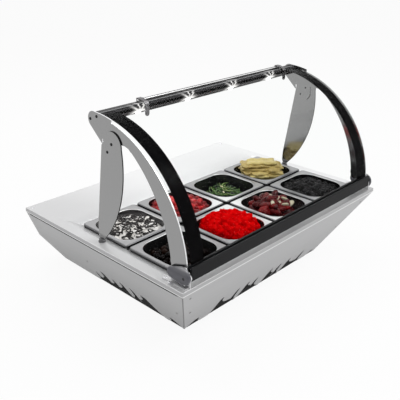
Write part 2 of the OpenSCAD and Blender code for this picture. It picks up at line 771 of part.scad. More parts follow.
module hinge_bracket() {
    color(steel) difference() {
        union() {
            along_x(bracket_in, bracket_in + plate_t) {
                translate([vy(hinge_v), deck_h + hinge_z]) circle(11);
                translate([vy(0), deck_h])
                    polygon([[4, 0], [60, 0], [60, 8], [44, 16], [hinge_v + 9, hinge_z + 6], [4, hinge_z]]);
                translate([vy(hinge_v) + peg_c[0], deck_h + hinge_z]) {
                    translate([-6, 0]) square([12, peg_c[1]]);
                    translate([0, peg_c[1]]) circle(6);
                }
            }
            translate([0, 0, deck_h]) linear_extrude(2) {
                translate([bracket_in, vy(6)]) square([14, 60]);
                for (p = bracket_screws) translate([p[0], vy(p[1])]) circle(7);
            }
        }
        rod_x(0, half_w, vy(hinge_v), deck_h + hinge_z, pin_d / 2 + run_fit);
        rod_x(0, half_w, vy(cover_screw[0]), deck_h + cover_screw[1], 1.5);
        for (p = bracket_screws) rod_z(p[0], vy(p[1]), deck_h - cut, deck_h + 4, screw_r);
    }
    color(steel) rod_x(inner_x + part_gap, bracket_in + 1, vy(hinge_v) + peg_c[0], deck_h + hinge_z + peg_c[1], peg_r);
}

cover_a = [21.5, 23.5];
cover_b = [53, 21];
cover_r = [21, 13];

// Two round ends and the band between their tangents, moved in by d
module cover_solid(x1, x2, d) {
    span = cover_b - cover_a;
    lean = atan2(span[1], span[0]);
    turn = acos((cover_r[0] - cover_r[1]) / norm(span));
    up = [cos(lean + turn), sin(lean + turn)];
    down = [cos(lean - turn), sin(lean - turn)];
    a = cover_r[0] - d;
    b = cover_r[1] - d;
    rod_x(x1, x2, vy(cover_a[0]), deck_h + cover_a[1], a);
    rod_x(x1, x2, vy(cover_b[0]), deck_h + cover_b[1], b);
    along_x(x1, x2) translate([vy(0), deck_h])
        polygon([cover_a + a * up, cover_b + b * up, cover_b + b * down, cover_a + a * down]);
}

module hinge_cover() {
    color([0.32, 0.32, 0.36]) difference() {
        cover_solid(cover_in, cover_in + cover_depth, 0);
        cover_solid(cover_in - cut, cover_in + cover_depth - 2, 2);
        rod_x(cover_in, half_w, vy(hinge_v), deck_h + hinge_z, 4);
        rod_x(cover_in, half_w, vy(cover_screw[0]), deck_h + cover_screw[1], 1.5);
    }
}

module hinge_bracket_right() {
    hinge_bracket();
}

module hinge_bracket_left() {
    mirror([1, 0, 0]) hinge_bracket();
}

module hinge_cover_right() {
    hinge_cover();
}

module hinge_cover_left() {
    mirror([1, 0, 0]) hinge_cover();
}

module hinge_pins() {
    color(chrome) both_sides() {
        rod_x(inner_x + part_gap, cover_in + cover_depth - 1.5, vy(hinge_v), deck_h + hinge_z, pin_d / 2);
        rod_x(bracket_in + plate_t + 0.1, bracket_in + plate_t + 3, vy(hinge_v), deck_h + hinge_z, 5.2);
    }
}

module hinge_screws() {
    color(chrome) both_sides() {
        for (p = bracket_screws) translate([p[0], vy(p[1]), deck_h + 2]) screw(8, screw_r - 0.1);
        translate([half_w - 14, vy(deck_d - 18), deck_h]) screw(6, screw_r - 0.1);
        translate([cover_in + cover_depth, vy(cover_screw[0]), deck_h + cover_screw[1]]) rotate([0, 90, 0])
            scale(0.6) screw(14, screw_r);
    }
}

rest_v = bow_v - 5;

module blade_rests() {
    color(black) both_sides() translate([blade_x - plate_t / 2, vy(rest_v), deck_h]) {
        cylinder(h = rest_h, r = 7);
        cylinder(h = 2, r = 9);
    }
}

module skirt_screws() {
    out = atan(slope);
    color(chrome) {
        both_sides() for (s = side_screws)
            translate([half_w - inset(s[1]), vy(s[0]), hz(s[1])]) rotate([0, 90 + out, 0])
                scale(0.8) screw(4, screw_r - 0.5);
        for (s = front_screws, m = [-1, 1])
            translate([m * s[0], vy(inset(s[1])), hz(s[1])]) rotate([90 + out, 0, 0])
                scale(0.8) screw(4, screw_r - 0.5);
    }
}

// Canopy outlines, in (y, z) about the centre of the glass's bow
module at_bow() {
    translate([vy(bow_v), hz(bow_h)]) children();
}

// The lower edge of the arm is a bow of its own, so the arm is wider at its foot
arm_in_c = [67, -9];
arm_in_r = arm_r + 20;
seat_u = -66;
web_w = arm_r - 49;

module arm_outline() {
    difference() {
        intersection() {
            circle(arm_r, $fn = 180);
            translate([-arm_r - 5, 8]) square([arm_r + 5 + seat_u, arm_r]);
        }
        translate(arm_in_c) circle(arm_in_r, $fn = 180);
    }
}

module plate_outline() {
    rear = [-31, arm_r - 62];
    arm_outline();
    intersection() {
        circle(arm_r, $fn = 180);
        polygon([[-126, web_w - 9], [-119, web_w - 3], [-108, web_w], [rear[0], web_w], rear,
            [8.7, arm_r - 26.1], lobe_c, [seat_u, arm_r], [-150, arm_r - 60]]);
    }
    intersection() {
        circle(glass_out + 1.3, $fn = 180);
        polygon([[seat_u, web_w], lobe_c - [0, lobe_r - 2], lobe_c, lobe_c + [0, lobe_r + 5], [seat_u, arm_r + 20]]);
    }
    translate(lobe_c) circle(lobe_r);
    translate([-58, 222]) circle(24);
    polygon([[-82, 222], [-34, 222], [-34, web_w + 1], [-82, web_w + 1]]);
    translate([hinge_u, hinge_w]) circle(12);
    polygon([[hinge_u, hinge_w - 12], [hinge_u + 24, hinge_w - 3], [-arm_r + 46, 9], [-arm_r + 50, 22],
        [-arm_r + 48, 40], [hinge_u + 5, 40], [hinge_u, hinge_w]]);
}

// Curved slot about the hinge for the bracket's peg, seen with the canopy closed
module peg_slot() {
    r = peg_r + part_gap;
    spare = asin((peg_r + part_gap / 2) / peg_reach);
    far = 2 * peg_reach;
    difference() {
        intersection() {
            circle(peg_reach + r);
            polygon([[0, 0], for (a = [peg_at + spare, peg_at - open_angle / 2, peg_at - open_angle - spare])
                far * [cos(a), sin(a)]]);
        }
        circle(peg_reach - r);
    }
}

module end_plate() {
    color(plate_grey) difference() {
        along_x(inner_x, plate_x) at_bow() plate_outline();
        along_x(inner_x - cut, plate_x + cut) at_bow() translate([hinge_u, hinge_w]) peg_slot();
        rod_x(0, half_w, vy(hinge_v), deck_h + hinge_z, pin_d / 2 + run_fit);
        for (p = concat(lobe_screws, blade_screws))
            rod_x(0, half_w, vy(bow_v + p[0]), hz(bow_h) + p[1], screw_r);
    }
}

module end_plate_right() {
    end_plate();
}

module end_plate_left() {
    mirror([1, 0, 0]) end_plate();
}

module blade_outline() {
    rear = [-31, arm_r - 62];
    translate(blade_top) circle(30);
    intersection() {
        translate(blade_c) circle(blade_r, $fn = 180);
        polygon([[-120, blade_top[1]], blade_top + [30, 0], rear, [3, tip_w + 34], [4, tip_w + 8],
            [2, tip_w + 2], [-3, tip_w], [-14, tip_w], [-120, tip_w + 30]]);
    }
}

module support_blade() {
    color(plate_grey) difference() {
        along_x(plate_x + 0.05, blade_x + 0.05) at_bow() blade_outline();
        for (p = blade_screws) rod_x(0, half_w, vy(bow_v + p[0]), hz(bow_h) + p[1], screw_r);
    }
}

module support_blade_right() {
    support_blade();
}

module support_blade_left() {
    mirror([1, 0, 0]) support_blade();
}

// Screws through the plates: into the light bar above, and through the blades below
module canopy_screws() {
    color(black) both_sides() {
        for (p = lobe_screws) translate([plate_x, vy(bow_v + p[0]), hz(bow_h) + p[1]])
            rotate([0, 90, 0]) screw(10, screw_r - 0.1);
        for (p = blade_screws) translate([blade_x + 0.05, vy(bow_v + p[0]), hz(bow_h) + p[1]])
            rotate([0, 90, 0]) screw(7, screw_r - 0.1);
    }
}

// Ring between radii a and b, from the rail to the light bar's lip
module bow_band(a, b) {
    intersection() {
        difference() {
            circle(b, $fn = 180);
            circle(a, $fn = 180);
        }
        translate([-b - 1, 1.2]) square([b + 1 + lip_u, b]);
    }
}

lip_u = -20;
clip_w = 12;
clip_x = [for (m = [-1, 1]) rod_shift + m * (rod_len - clip_w) / 2];

// Notches in the upper edge that let the clips pass
module clip_notches() {
    for (x = clip_x) along_x(x - clip_w / 2 - 1, x + clip_w / 2 + 1) at_bow()
        translate([lip_u - 9, arm_r - 10]) square([9 + cut, 20]);
}

module curved_glass() {
    color([0.85, 0.95, 0.92, 0.3]) difference() {
        along_x(-glass_x, glass_x) at_bow() bow_band(glass_in, glass_out);
        clip_notches();
    }
}

// Black border printed on the inner face of the glass, one band at each end
module border_bands() {
    film = 0.25;
    color(black) difference() {
        both_sides() along_x(glass_x - clear_w - band_w, glass_x - clear_w) at_bow() intersection() {
            bow_band(glass_in - film - 0.15, glass_in - 0.15);
            polygon([[-arm_r - 5, 24.5], [lip_u - 5, 24.5], [lip_u - 5, arm_r + 5], [-arm_r - 5, arm_r + 5]]);
        }
        clip_notches();
    }
}

bar_screw_len = 14;
bar_front = -24;
bar_low = arm_r - 22;
lamp_face = [[bar_front, arm_r - 9], [-8, bar_low]];
bar_top = arm_r + 2;

module bar_outline() {
    polygon([lamp_face[0], [bar_front, arm_r - 1], [lip_u + 0.4, arm_r - 0.6], [lip_u + 0.4, arm_r + 3.5],
        [-11, bar_top + 0.8], [-11, bar_top - 0.6], [-9, bar_top - 0.7], [-9, bar_top + 0.6],
        [6, bar_top - 0.6], [6, bar_top - 2], [8, bar_top - 2.4], [8, bar_top - 2.2], [13, arm_r - 4],
        [13, arm_r - 8], [11.6, arm_r - 8], [11.6, arm_r - 10], [13, arm_r - 10], [13, arm_r - 15],
        [6, bar_low], lamp_face[1]]);
}

module light_bar() {
    color([0.3, 0.3, 0.32]) difference() {
        along_x(-inner_x, inner_x) at_bow() bar_outline();
        both_sides() for (p = lobe_screws)
            rod_x(inner_x - bar_screw_len, half_w, vy(bow_v + p[0]), hz(bow_h) + p[1], screw_r - 0.05);
    }
}

lamp_xs = [for (i = [0:3]) (i - 1.5) * lamp_pitch];
lamp_c = (lamp_face[0] + lamp_face[1]) / 2;
lamp_tilt = 180 - atan2(lamp_face[0][1] - lamp_face[1][1], lamp_face[1][0] - lamp_face[0][0]);

// Lamps on the sloping lower face of the light bar
module lamps() {
    color([1, 1, 0.95]) for (x = lamp_xs)
        translate([x, vy(bow_v) + lamp_c[0], hz(bow_h) + lamp_c[1]]) rotate([lamp_tilt, 0, 0]) {
            cylinder(h = 1.6, r = 7);
            translate([0, 0, 1.6]) cylinder(h = 1.6, r1 = 5.5, r2 = 4);
        }
}

rod_w = bar_top + rod_d / 2 + part_gap;

module top_rod() {
    color(chrome)
        rod_x(rod_shift - rod_len / 2, rod_shift + rod_len / 2, vy(bow_v), hz(bow_h) + rod_w, rod_d / 2);
}

// Bent strap that hooks over the rod and hangs down the light bar's front, with a round lower end
module rod_clips() {
    t = 2;
    foot = arm_r - 28;
    hook = rod_d / 2 + 0.4;
    high = rod_w + hook;
    color(chrome) for (x = clip_x) intersection() {
        along_x(x - clip_w / 2, x + clip_w / 2) at_bow()
            polygon([[bar_front, foot], [bar_front, arm_r - 0.4], [lip_u - 0.2, arm_r + 4.2], [-hook - 2, high],
                [hook, high], [hook, bar_top - 0.2], [hook + t, bar_top - 0.2], [hook + t, high + t - 0.6],
                [hook + t - 1.5, high + t], [-hook - 2, high + t], [lip_u - 1, arm_r + 6.4],
                [bar_front - t, arm_r + 0.6], [bar_front - t, foot]]);
        along_y(vy(bow_v - 40), vy(bow_v + 20)) {
            translate([x - clip_w / 2, hz(bow_h) + foot + clip_w / 2]) square([clip_w, 60]);
            translate([x, hz(bow_h) + foot + clip_w / 2]) circle(clip_w / 2);
        }
    }
}

rail_high = 24;
rail_front = glass_out + 5.8;
rail_back = glass_in - 6.6;

module bottom_rail() {
    color(black) along_x(-inner_x, inner_x) at_bow() difference() {
        polygon([[-rail_front, -5], [-rail_front + 1.5, -6.5], [-rail_back, -6.5], [-rail_back, rail_high],
            [-rail_front + 2, rail_high], [-rail_front, rail_high - 2]]);
        polygon([[-glass_out - 0.5, 0.8], [-glass_in + 1.4, 0.8], [-glass_in + 1.4, rail_high + cut],
            [-glass_out - 0.5, rail_high + cut]]);
    }
}

deck_top();
subframe();
front_skirt();
left_skirt();
right_skirt();
rear_cover();
base_tray();
rubber_feet();
cold_well();
insulation();
evaporator_coil();
pan(1, 0);  // pan_rear_1
pan(1, 1);  // pan_rear_2
pan(1, 2);  // pan_rear_3
pan(1, 3);  // pan_rear_4
pan(0, 0);  // pan_front_1
pan(0, 1);  // pan_front_2
pan(0, 2);  // pan_front_3
pan(0, 3);  // pan_front_4
centre_bar();
cross_bars();
heap(1, 0, [0.85, 0.83, 0.8]);  // topping_rear_1
heap(1, 1, [0.5, 0.08, 0.07]);  // topping_rear_2
heap(1, 2, [0.15, 0.3, 0.1]);  // topping_rear_3
heap(1, 3, [0.8, 0.68, 0.35]);  // topping_rear_4
heap(0, 0, [0.1, 0.05, 0.03]);  // topping_front_1
heap(0, 1, [0.85, 0.03, 0.03]);  // topping_front_2
heap(0, 2, [0.3, 0.05, 0.05]);  // topping_front_3
heap(0, 3, [0.08, 0.07, 0.07]);  // topping_front_4
compressor();
condenser_coil();
fan_shroud();
fan_motor();
fan_rotor();
refrigerant_lines();
switch_housing();
rocker_switch();
thermostat();
thermostat_knob();
power_inlet();
hinge_bracket_left();
hinge_bracket_right();
hinge_cover_left();
hinge_cover_right();
hinge_pins();
hinge_screws();
blade_rests();
skirt_screws();
curved_glass();
border_bands();
end_plate_left();
end_plate_right();
support_blade_left();
support_blade_right();
canopy_screws();
light_bar();
lamps();
top_rod();
rod_clips();
bottom_rail();
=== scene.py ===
"""Dressed scene of a countertop refrigerated topping display.

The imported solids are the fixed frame. Sheet-metal parts whose solids are already right keep them and get a
finish. Pans, deck, glass, hinge covers, feet, lamps and food are made here as smooth surfaces, each from a
formula on a grid, and stand for the solids of the same names. All lengths are metres in the row frame.
"""

import logging
import math
from dataclasses import dataclass, field, replace
from enum import Enum
from functools import reduce
from typing import Optional, Sequence, Union

import bpy
import numpy as np
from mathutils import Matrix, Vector


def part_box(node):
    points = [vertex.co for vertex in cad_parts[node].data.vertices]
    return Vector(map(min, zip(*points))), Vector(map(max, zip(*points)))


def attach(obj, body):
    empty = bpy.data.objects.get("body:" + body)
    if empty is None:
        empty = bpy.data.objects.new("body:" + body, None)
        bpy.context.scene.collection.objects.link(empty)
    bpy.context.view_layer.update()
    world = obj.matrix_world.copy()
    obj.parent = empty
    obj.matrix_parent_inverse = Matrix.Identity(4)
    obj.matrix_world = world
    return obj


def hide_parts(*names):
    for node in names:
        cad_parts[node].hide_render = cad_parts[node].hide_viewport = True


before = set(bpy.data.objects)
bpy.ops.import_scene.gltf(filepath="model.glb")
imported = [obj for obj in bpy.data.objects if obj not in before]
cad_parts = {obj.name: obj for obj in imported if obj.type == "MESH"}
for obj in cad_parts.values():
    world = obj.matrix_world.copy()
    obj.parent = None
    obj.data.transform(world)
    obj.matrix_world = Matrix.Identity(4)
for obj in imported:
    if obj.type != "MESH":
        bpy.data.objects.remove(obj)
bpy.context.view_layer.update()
log = logging.getLogger("topping_display")

Array = np.ndarray
Colour = tuple[float, float, float]
Number = Union[int, float]
Spot = tuple[float, float, float]
Stops = tuple[tuple[float, Colour], ...]
BLACK: Colour = (0.0, 0.0, 0.0)
WHITE: Colour = (1.0, 1.0, 1.0)
TURN = 2 * math.pi
WAVE_TURN = 6.28
QUARTER_ROUND = np.radians([30, 60, 90])


def grey(level: float, blue: float = 0.0) -> Colour:
    """A grey with a little more blue."""
    return (level, level, level + blue)


class Body(Enum):
    """The bodies that the new pieces ride on."""

    HOUSING = "body"
    CANOPY = "canopy"


class Side(Enum):
    """The two ends of the display, as the sign of X."""

    LEFT = -1
    RIGHT = 1


# ---------------------------------------------------------------- shader maths


class Sock:
    """A shader socket that can be used in arithmetic."""

    def __init__(self, shader: "Shader", socket: bpy.types.NodeSocket) -> None:
        """Wraps one output socket of a shader's node tree."""
        self.shader = shader
        self.socket = socket

    def _math(self, operation: str, a: "Value", b: "Value" = 0.0) -> "Sock":
        """One Math node on two values."""
        made = self.shader.node("ShaderNodeMath", {"operation": operation}, {0: a, 1: b})
        return Sock(self.shader, made.outputs[0])

    def __add__(self, other: "Value") -> "Sock":
        """Sum."""
        return self._math("ADD", self, other)

    __radd__ = __add__

    def __mul__(self, other: "Value") -> "Sock":
        """Product."""
        return self._math("MULTIPLY", self, other)

    __rmul__ = __mul__

    def __sub__(self, other: "Value") -> "Sock":
        """Difference."""
        return self._math("SUBTRACT", self, other)

    def __rsub__(self, other: "Value") -> "Sock":
        """Difference, reflected."""
        return self._math("SUBTRACT", other, self)

    def __truediv__(self, other: "Value") -> "Sock":
        """Quotient."""
        return self._math("DIVIDE", self, other)

    def __pow__(self, other: "Value") -> "Sock":
        """Power."""
        return self._math("POWER", self, other)

    def __abs__(self) -> "Sock":
        """Size without sign."""
        return self._math("ABSOLUTE", self)

    def cosine(self) -> "Sock":
        """Cosine of an angle in radians."""
        return self._math("COSINE", self)

    def bearing(self, other: "Sock") -> "Sock":
        """Angle of the direction whose parts are other and this."""
        return self._math("ARCTAN2", self, other)

    def larger(self, other: "Sock") -> "Sock":
        """The larger of two values."""
        return self._math("MAXIMUM", self, other)

    def step(self, low: Number, high: Number) -> "Sock":
        """0 below low, 1 above high and a smooth step between.

        Args:
            low: where the step starts.
            high: where it ends.

        Returns:
            The stepped value.
        """
        made = self.shader.node(
            "ShaderNodeMapRange",
            {"interpolation_type": "SMOOTHSTEP", "clamp": True},
            {"Value": self, "From Min": low, "From Max": high, "To Min": 0.0, "To Max": 1.0},
        )
        return Sock(self.shader, made.outputs[0])


Value = Union[Sock, Number, Sequence[Number]]


class Shader:
    """A material's node tree under construction."""

    def __init__(self, owner: Union[bpy.types.Material, bpy.types.World], output: str) -> None:
        """Empties the node tree of a material or world and gives it an output.

        Args:
            owner: the material or world.
            output: the type of its output node.
        """
        self.owner = owner
        owner.use_nodes = True
        self.tree = owner.node_tree
        self.tree.nodes.clear()
        self.out = self.tree.nodes.new(output)

    @classmethod
    def of_material(cls, name: str) -> "Shader":
        """A shader on a new material."""
        return cls(bpy.data.materials.new(name), "ShaderNodeOutputMaterial")

    def node(
        self,
        kind: str,
        settings: Optional[dict[str, object]] = None,
        inputs: Optional[dict[Union[int, str], Value]] = None,
    ) -> bpy.types.Node:
        """Adds one node.

        Args:
            kind: the node's type.
            settings: attributes, set before the sockets; "stops" are a ramp's (place, colour) pairs.
            inputs: values or links, by socket name or index.

        Returns:
            The new node.
        """
        made = self.tree.nodes.new(kind)
        for key, value in (settings or {}).items():
            if key == "stops":
                self._stops(made, value)
            else:
                setattr(made, key, value)
        for key, value in (inputs or {}).items():
            self.feed(made.inputs[key], value)
        return made

    @staticmethod
    def _stops(made: bpy.types.Node, stops: Stops) -> None:
        """Sets a ramp's stops.

        Args:
            made: the ramp's node.
            stops: its (place, colour) pairs.
        """
        elements = made.color_ramp.elements
        while len(elements) > 1:
            elements.remove(elements[-1])
        for i, (place, colour) in enumerate(stops):
            e = elements[0] if i == 0 else elements.new(place)
            e.position = place
            e.color = (*colour, 1.0)

    def feed(self, socket: bpy.types.NodeSocket, value: Value) -> None:
        """Links a wrapped socket, or sets a plain value.

        Args:
            socket: the input.
            value: what it gets.
        """
        if isinstance(value, Sock):
            self.tree.links.new(value.socket, socket)
        elif isinstance(value, (int, float)):
            socket.default_value = value
        elif socket.type == "RGBA" and len(value) == 3:
            socket.default_value = (*value, 1.0)
        else:
            socket.default_value = tuple(value)

    def place(self, scale: Sequence[Number] = (1, 1, 1)) -> Sock:
        """Object coordinates, stretched by a Mapping node."""
        where = Sock(self, self.node("ShaderNodeTexCoord").outputs["Object"])
        return Sock(self, self.node("ShaderNodeMapping", None, {"Vector": where, "Scale": scale}).outputs[0])

    def axes(self, vector: Optional[Sock] = None) -> tuple[Sock, Sock, Sock]:
        """The three parts of a vector, or of the Object coordinates."""
        made = self.node("ShaderNodeSeparateXYZ", None, {0: vector or self.place()})
        return tuple(Sock(self, made.outputs[i]) for i in range(3))

    def normal(self) -> tuple[Sock, Sock, Sock]:
        """The parts of the surface's true normal."""
        made = self.node("ShaderNodeNewGeometry")
        return self.axes(Sock(self, made.outputs["True Normal"]))

    def noise(self, scale: float, detail: float = 2.0, vector: Optional[Sock] = None) -> Sock:
        """Noise about 0.5, on the Object coordinates or a vector."""
        inputs = {"Vector": vector or self.place(), "Scale": scale, "Detail": detail, "Roughness": 0.5}
        return Sock(self, self.node("ShaderNodeTexNoise", None, inputs).outputs[0])

    def rays(self, *kinds: str) -> Sock:
        """1 for rays of the named kinds and 0 for all others."""
        path = self.node("ShaderNodeLightPath")
        return reduce(Sock.larger, [Sock(self, path.outputs[f"Is {kind} Ray"]) for kind in kinds])

    def attribute(self, name: str) -> Sock:
        """A number kept on the piece's own points."""
        made = self.node("ShaderNodeAttribute", {"attribute_name": name})
        return Sock(self, made.outputs["Fac"])

    def ramp(self, value: Sock, stops: Stops) -> Sock:
        """A colour ramp on a value."""
        made = self.node("ShaderNodeValToRGB", {"stops": stops}, {0: value})
        return Sock(self, made.outputs[0])

    def mix(self, factor: Value, a: Value, b: Value) -> Sock:
        """A colour between a and b."""
        made = self.node("ShaderNodeMix", {"data_type": "RGBA"}, {0: factor, 6: a, 7: b})
        return Sock(self, made.outputs[2])

    def dimmed(self, value: Sock, tone: Colour) -> Sock:
        """A tone times a value of 0 to 1."""
        return self.mix(value, BLACK, tone)

    def bump(self, height: Sock, strength: float, distance: float) -> Sock:
        """A normal from a height in units of distance."""
        inputs = {"Height": height, "Strength": strength, "Distance": distance}
        return Sock(self, self.node("ShaderNodeBump", None, inputs).outputs[0])

    def end(self, made: bpy.types.Node) -> Union[bpy.types.Material, bpy.types.World]:
        """Ends the tree with a shader node."""
        self.tree.links.new(made.outputs[0], self.out.inputs[0])
        return self.owner

    def surface(self, inputs: dict[str, Value]) -> bpy.types.Material:
        """Ends the material with one Principled shader."""
        return self.end(self.node("ShaderNodeBsdfPrincipled", None, inputs))

    def blend(self, factor: Sock, a: bpy.types.Node, b: bpy.types.Node) -> bpy.types.Material:
        """Ends the material with a mix of two shaders."""
        ends = {0: factor, 1: Sock(self, a.outputs[0]), 2: Sock(self, b.outputs[0])}
        return self.end(self.node("ShaderNodeMixShader", None, ends))


# ---------------------------------------------------------------- finishes


@dataclass(frozen=True)
class Finish:
    """A finish, made into a material once and then shared."""

    name: str

    def shade(self, s: Shader) -> bpy.types.Material:
        """Builds the nodes. Each finish has its own.

        Args:
            s: the node tree under construction.

        Returns:
            The finished material.
        """
        raise NotImplementedError

    def material(self) -> bpy.types.Material:
        """The finish's material, built at its first use."""
        return bpy.data.materials.get(self.name) or self.shade(Shader.of_material(self.name))


@dataclass(frozen=True)
class BrushedSheet(Finish):
    """Stainless sheet with a fine grain along one axis and a faint cloudiness.

    A slow fade along X, Y or Z can darken the sheet towards one end as painted shade, as soft light from one
    side does.
    A painted shadow line can run along the slanting end edges, set by its width, half the sheet's length at z
    = 0 and the slope.
    """

    tone: Colour
    grain: tuple[float, float, float] = (3.0, 260.0, 260.0)
    metal: float = 0.55
    rough: float = 0.38
    cloud: float = 0.035
    fade_axis: int = 2
    fade: tuple[float, float] = (0.0, 1.0)
    faded: float = 1.0
    seam_shade: Optional[tuple[float, float, float]] = None

    def shade(self, s: Shader) -> bpy.types.Material:
        """Grain in the roughness and bump; cloud, and the painted shade of the fade and the end edges, in the
        colour.

        Args:
            s: the node tree under construction.

        Returns:
            The finished material.
        """
        grain = s.noise(1.0, 3.0, s.place(self.grain))
        cloud = s.noise(5.0, 2.0)
        axes = s.axes()
        # Painted shade: the fade darkens the sheet towards one end.
        along = axes[self.fade_axis].step(*self.fade)
        light = along * (1.0 - self.faded) + self.faded
        # Painted shadow line along the slanting end edges, where the sheets meet.
        if self.seam_shade:
            width, half, slope = self.seam_shade
            inside = axes[2] * slope + half - abs(axes[0])
            light = light * (inside.step(0.4 * width, width) * 0.72 + 0.28)
        value = light * ((cloud - 0.5) * (2 * self.cloud) + (grain - 0.5) * 0.05 + 1.0)
        colour = s.dimmed(value, self.tone)
        return s.surface(
            {
                "Base Color": colour,
                "Metallic": self.metal,
                "Roughness": (grain - 0.5) * 0.16 + self.rough,
                "Normal": s.bump(grain, 0.05, 0.0004),
            }
        )


@dataclass(frozen=True)
class DeckSteel(Finish):
    """Bright deck sheet in painted light: a pale top, painted shade towards the left end, the front and on
    the lip, and a painted highlight line at the hem.
    """

    # top is the lit sheet; side, front and lip are its painted shade, strip is where the front's shade fades
    # in, and line is a painted highlight.
    top: Colour
    side: Colour
    front: Colour
    strip: tuple[float, float]
    lip: Colour
    line: Colour
    hem_z: float

    def shade(self, s: Shader) -> bpy.types.Material:
        """The normal parts the lit top from the shaded lip, and the height above the hem draws the painted
        highlight line.

        Args:
            s: the node tree under construction.

        Returns:
            The finished material.
        """
        x, y, z = s.axes()
        flat = s.normal()[2].step(0.55, 0.9)
        # Painted highlight line along the hem.
        hem_highlight_mask = 1.0 - z.step(self.hem_z + 0.0012, self.hem_z + 0.0028)
        grain = s.noise(1.0, 3.0, s.place((3.0, 320.0, 320.0)))
        cloud = s.noise(4.0, 3.0)
        # Painted shade towards the left end and along the front.
        inner = x.step(-0.36, 0.0)
        back = y.step(*self.strip)
        edge = s.mix(hem_highlight_mask, self.lip, self.line)
        sheet = s.mix(inner + (cloud - 0.5) * 0.2, self.side, self.top)
        deck = s.mix(back, self.front, sheet)
        return s.surface(
            {
                "Base Color": s.mix(flat, edge, deck),
                "Metallic": 0.35,
                "Roughness": (grain - 0.5) * 0.2 + 0.36,
                "Normal": s.bump(grain, 0.05, 0.0004),
            }
        )


@dataclass(frozen=True)
class PanSteel(Finish):
    """Deep-drawn pan sheet: satin rim with painted shade along its borders and painted highlights, and a
    glossier bowl in painted shade.
    """

    # rim is the sheet's own tone; the highlight colour, the border and the bowl are painted light.
    rim: Colour
    painted_highlight: Colour
    border: Colour
    bowl: Colour
    centre: tuple[float, float, float]
    half: tuple[float, float]
    painted_highlight_spots: tuple[tuple[float, float], ...]
    reach: tuple[float, float] = (0.025, 0.090)
    edge: tuple[float, float] = (0.0045, 0.0015)

    def shade(self, s: Shader) -> bpy.types.Material:
        """The painted light goes by height below the rim and by distance from the borders and from the
        highlights' middles.

        Args:
            s: the node tree under construction.

        Returns:
            The finished material.
        """
        x, y, z = s.axes()
        cx, cy, top = self.centre
        hw, hd = self.half
        on_rim = z.step(top - 0.004, top - 0.0006)
        near: Value = 0.0
        # Painted highlights round each of the given spots.
        for gx, gy in self.painted_highlight_spots:
            off_x, off_y = x - gx, y - gy
            near = near + 1.0 - ((off_x * off_x + off_y * off_y) ** 0.5).step(*self.reach)
        wide, narrow = self.edge
        # Painted shade along the rim's outer edges.
        outer = abs(x - cx).step(hw - wide, hw - narrow) + abs(y - cy).step(hd - wide, hd - narrow)
        # A painted highlight along the mouth's rolled edge.
        lip = z.step(top - 0.0024, top - 0.0014) * (1.0 - z.step(top - 0.0010, top - 0.0006))
        sheet = s.mix(outer, s.mix(near, self.rim, self.painted_highlight), self.border)
        grain = s.noise(1.0, 2.0, s.place((60.0, 60.0, 400.0)))
        haze = s.noise(14.0, 3.0)
        # The bowl below the rim takes its painted shade.
        colour = s.mix(lip * (1.0 - outer), s.mix(on_rim, self.bowl, sheet), self.painted_highlight)
        return s.surface(
            {
                "Base Color": s.mix((haze - 0.5) * 0.3 + 0.12, colour, (0.5, 0.5, 0.52)),
                "Metallic": 0.85,
                "Roughness": on_rim * 0.1 + (haze - 0.5) * 0.12 + 0.22,
                "Normal": s.bump(grain, 0.04, 0.0003),
            }
        )


@dataclass(frozen=True)
class Coated(Finish):
    """Smooth or grainy paint, coating or moulded plastic."""

    tone: Colour
    rough: float = 0.45
    grain: float = 0.0
    grain_scale: float = 900.0
    coat: float = 0.0
    metal: float = 0.0
    drift: float = 0.08
    shine: float = 0.5

    def shade(self, s: Shader) -> bpy.types.Material:
        """A slow drift of tone, with fine grain in the bump and roughness.

        Args:
            s: the node tree under construction.

        Returns:
            The finished material.
        """
        fine = s.noise(self.grain_scale, 2.0)
        slow = s.noise(9.0, 2.0)
        value = (slow - 0.5) * (2 * self.drift) + (fine - 0.5) * (0.6 * self.grain) + 1.0
        return s.surface(
            {
                "Base Color": s.dimmed(value, self.tone),
                "Metallic": self.metal,
                "Roughness": (slow - 0.5) * 0.1 + self.rough,
                "Specular IOR Level": self.shine,
                "Coat Weight": self.coat,
                "Coat Roughness": 0.08,
                "Normal": s.bump(fine, 0.1 + self.grain, 0.00025),
            }
        )


@dataclass(frozen=True)
class CutPlate(Finish):
    """Polished flat plate whose edge faces take their own tone as painted light. The edge is wherever the
    normal leaves X.
    """

    tone: Colour
    edge: Colour

    def shade(self, s: Shader) -> bpy.types.Material:
        """Edge mask from the normal, fine satin grain on the faces.

        Args:
            s: the node tree under construction.

        Returns:
            The finished material.
        """
        facing = abs(s.normal()[0])
        # The edge faces take the edge tone: painted light.
        on_edge = 1.0 - facing.step(0.4, 0.8)
        grain = s.noise(1.0, 2.0, s.place((200.0, 12.0, 200.0)))
        slow = s.noise(6.0, 2.0)
        flat = s.dimmed((slow - 0.5) * 0.16 + (grain - 0.5) * 0.06 + 1.0, self.tone)
        return s.surface(
            {
                "Base Color": s.mix(on_edge, flat, self.edge),
                "Metallic": 0.95,
                "Roughness": on_edge * 0.2 + (slow - 0.5) * 0.06 + 0.13,
                "Normal": s.bump(grain, 0.01, 0.0002),
            }
        )


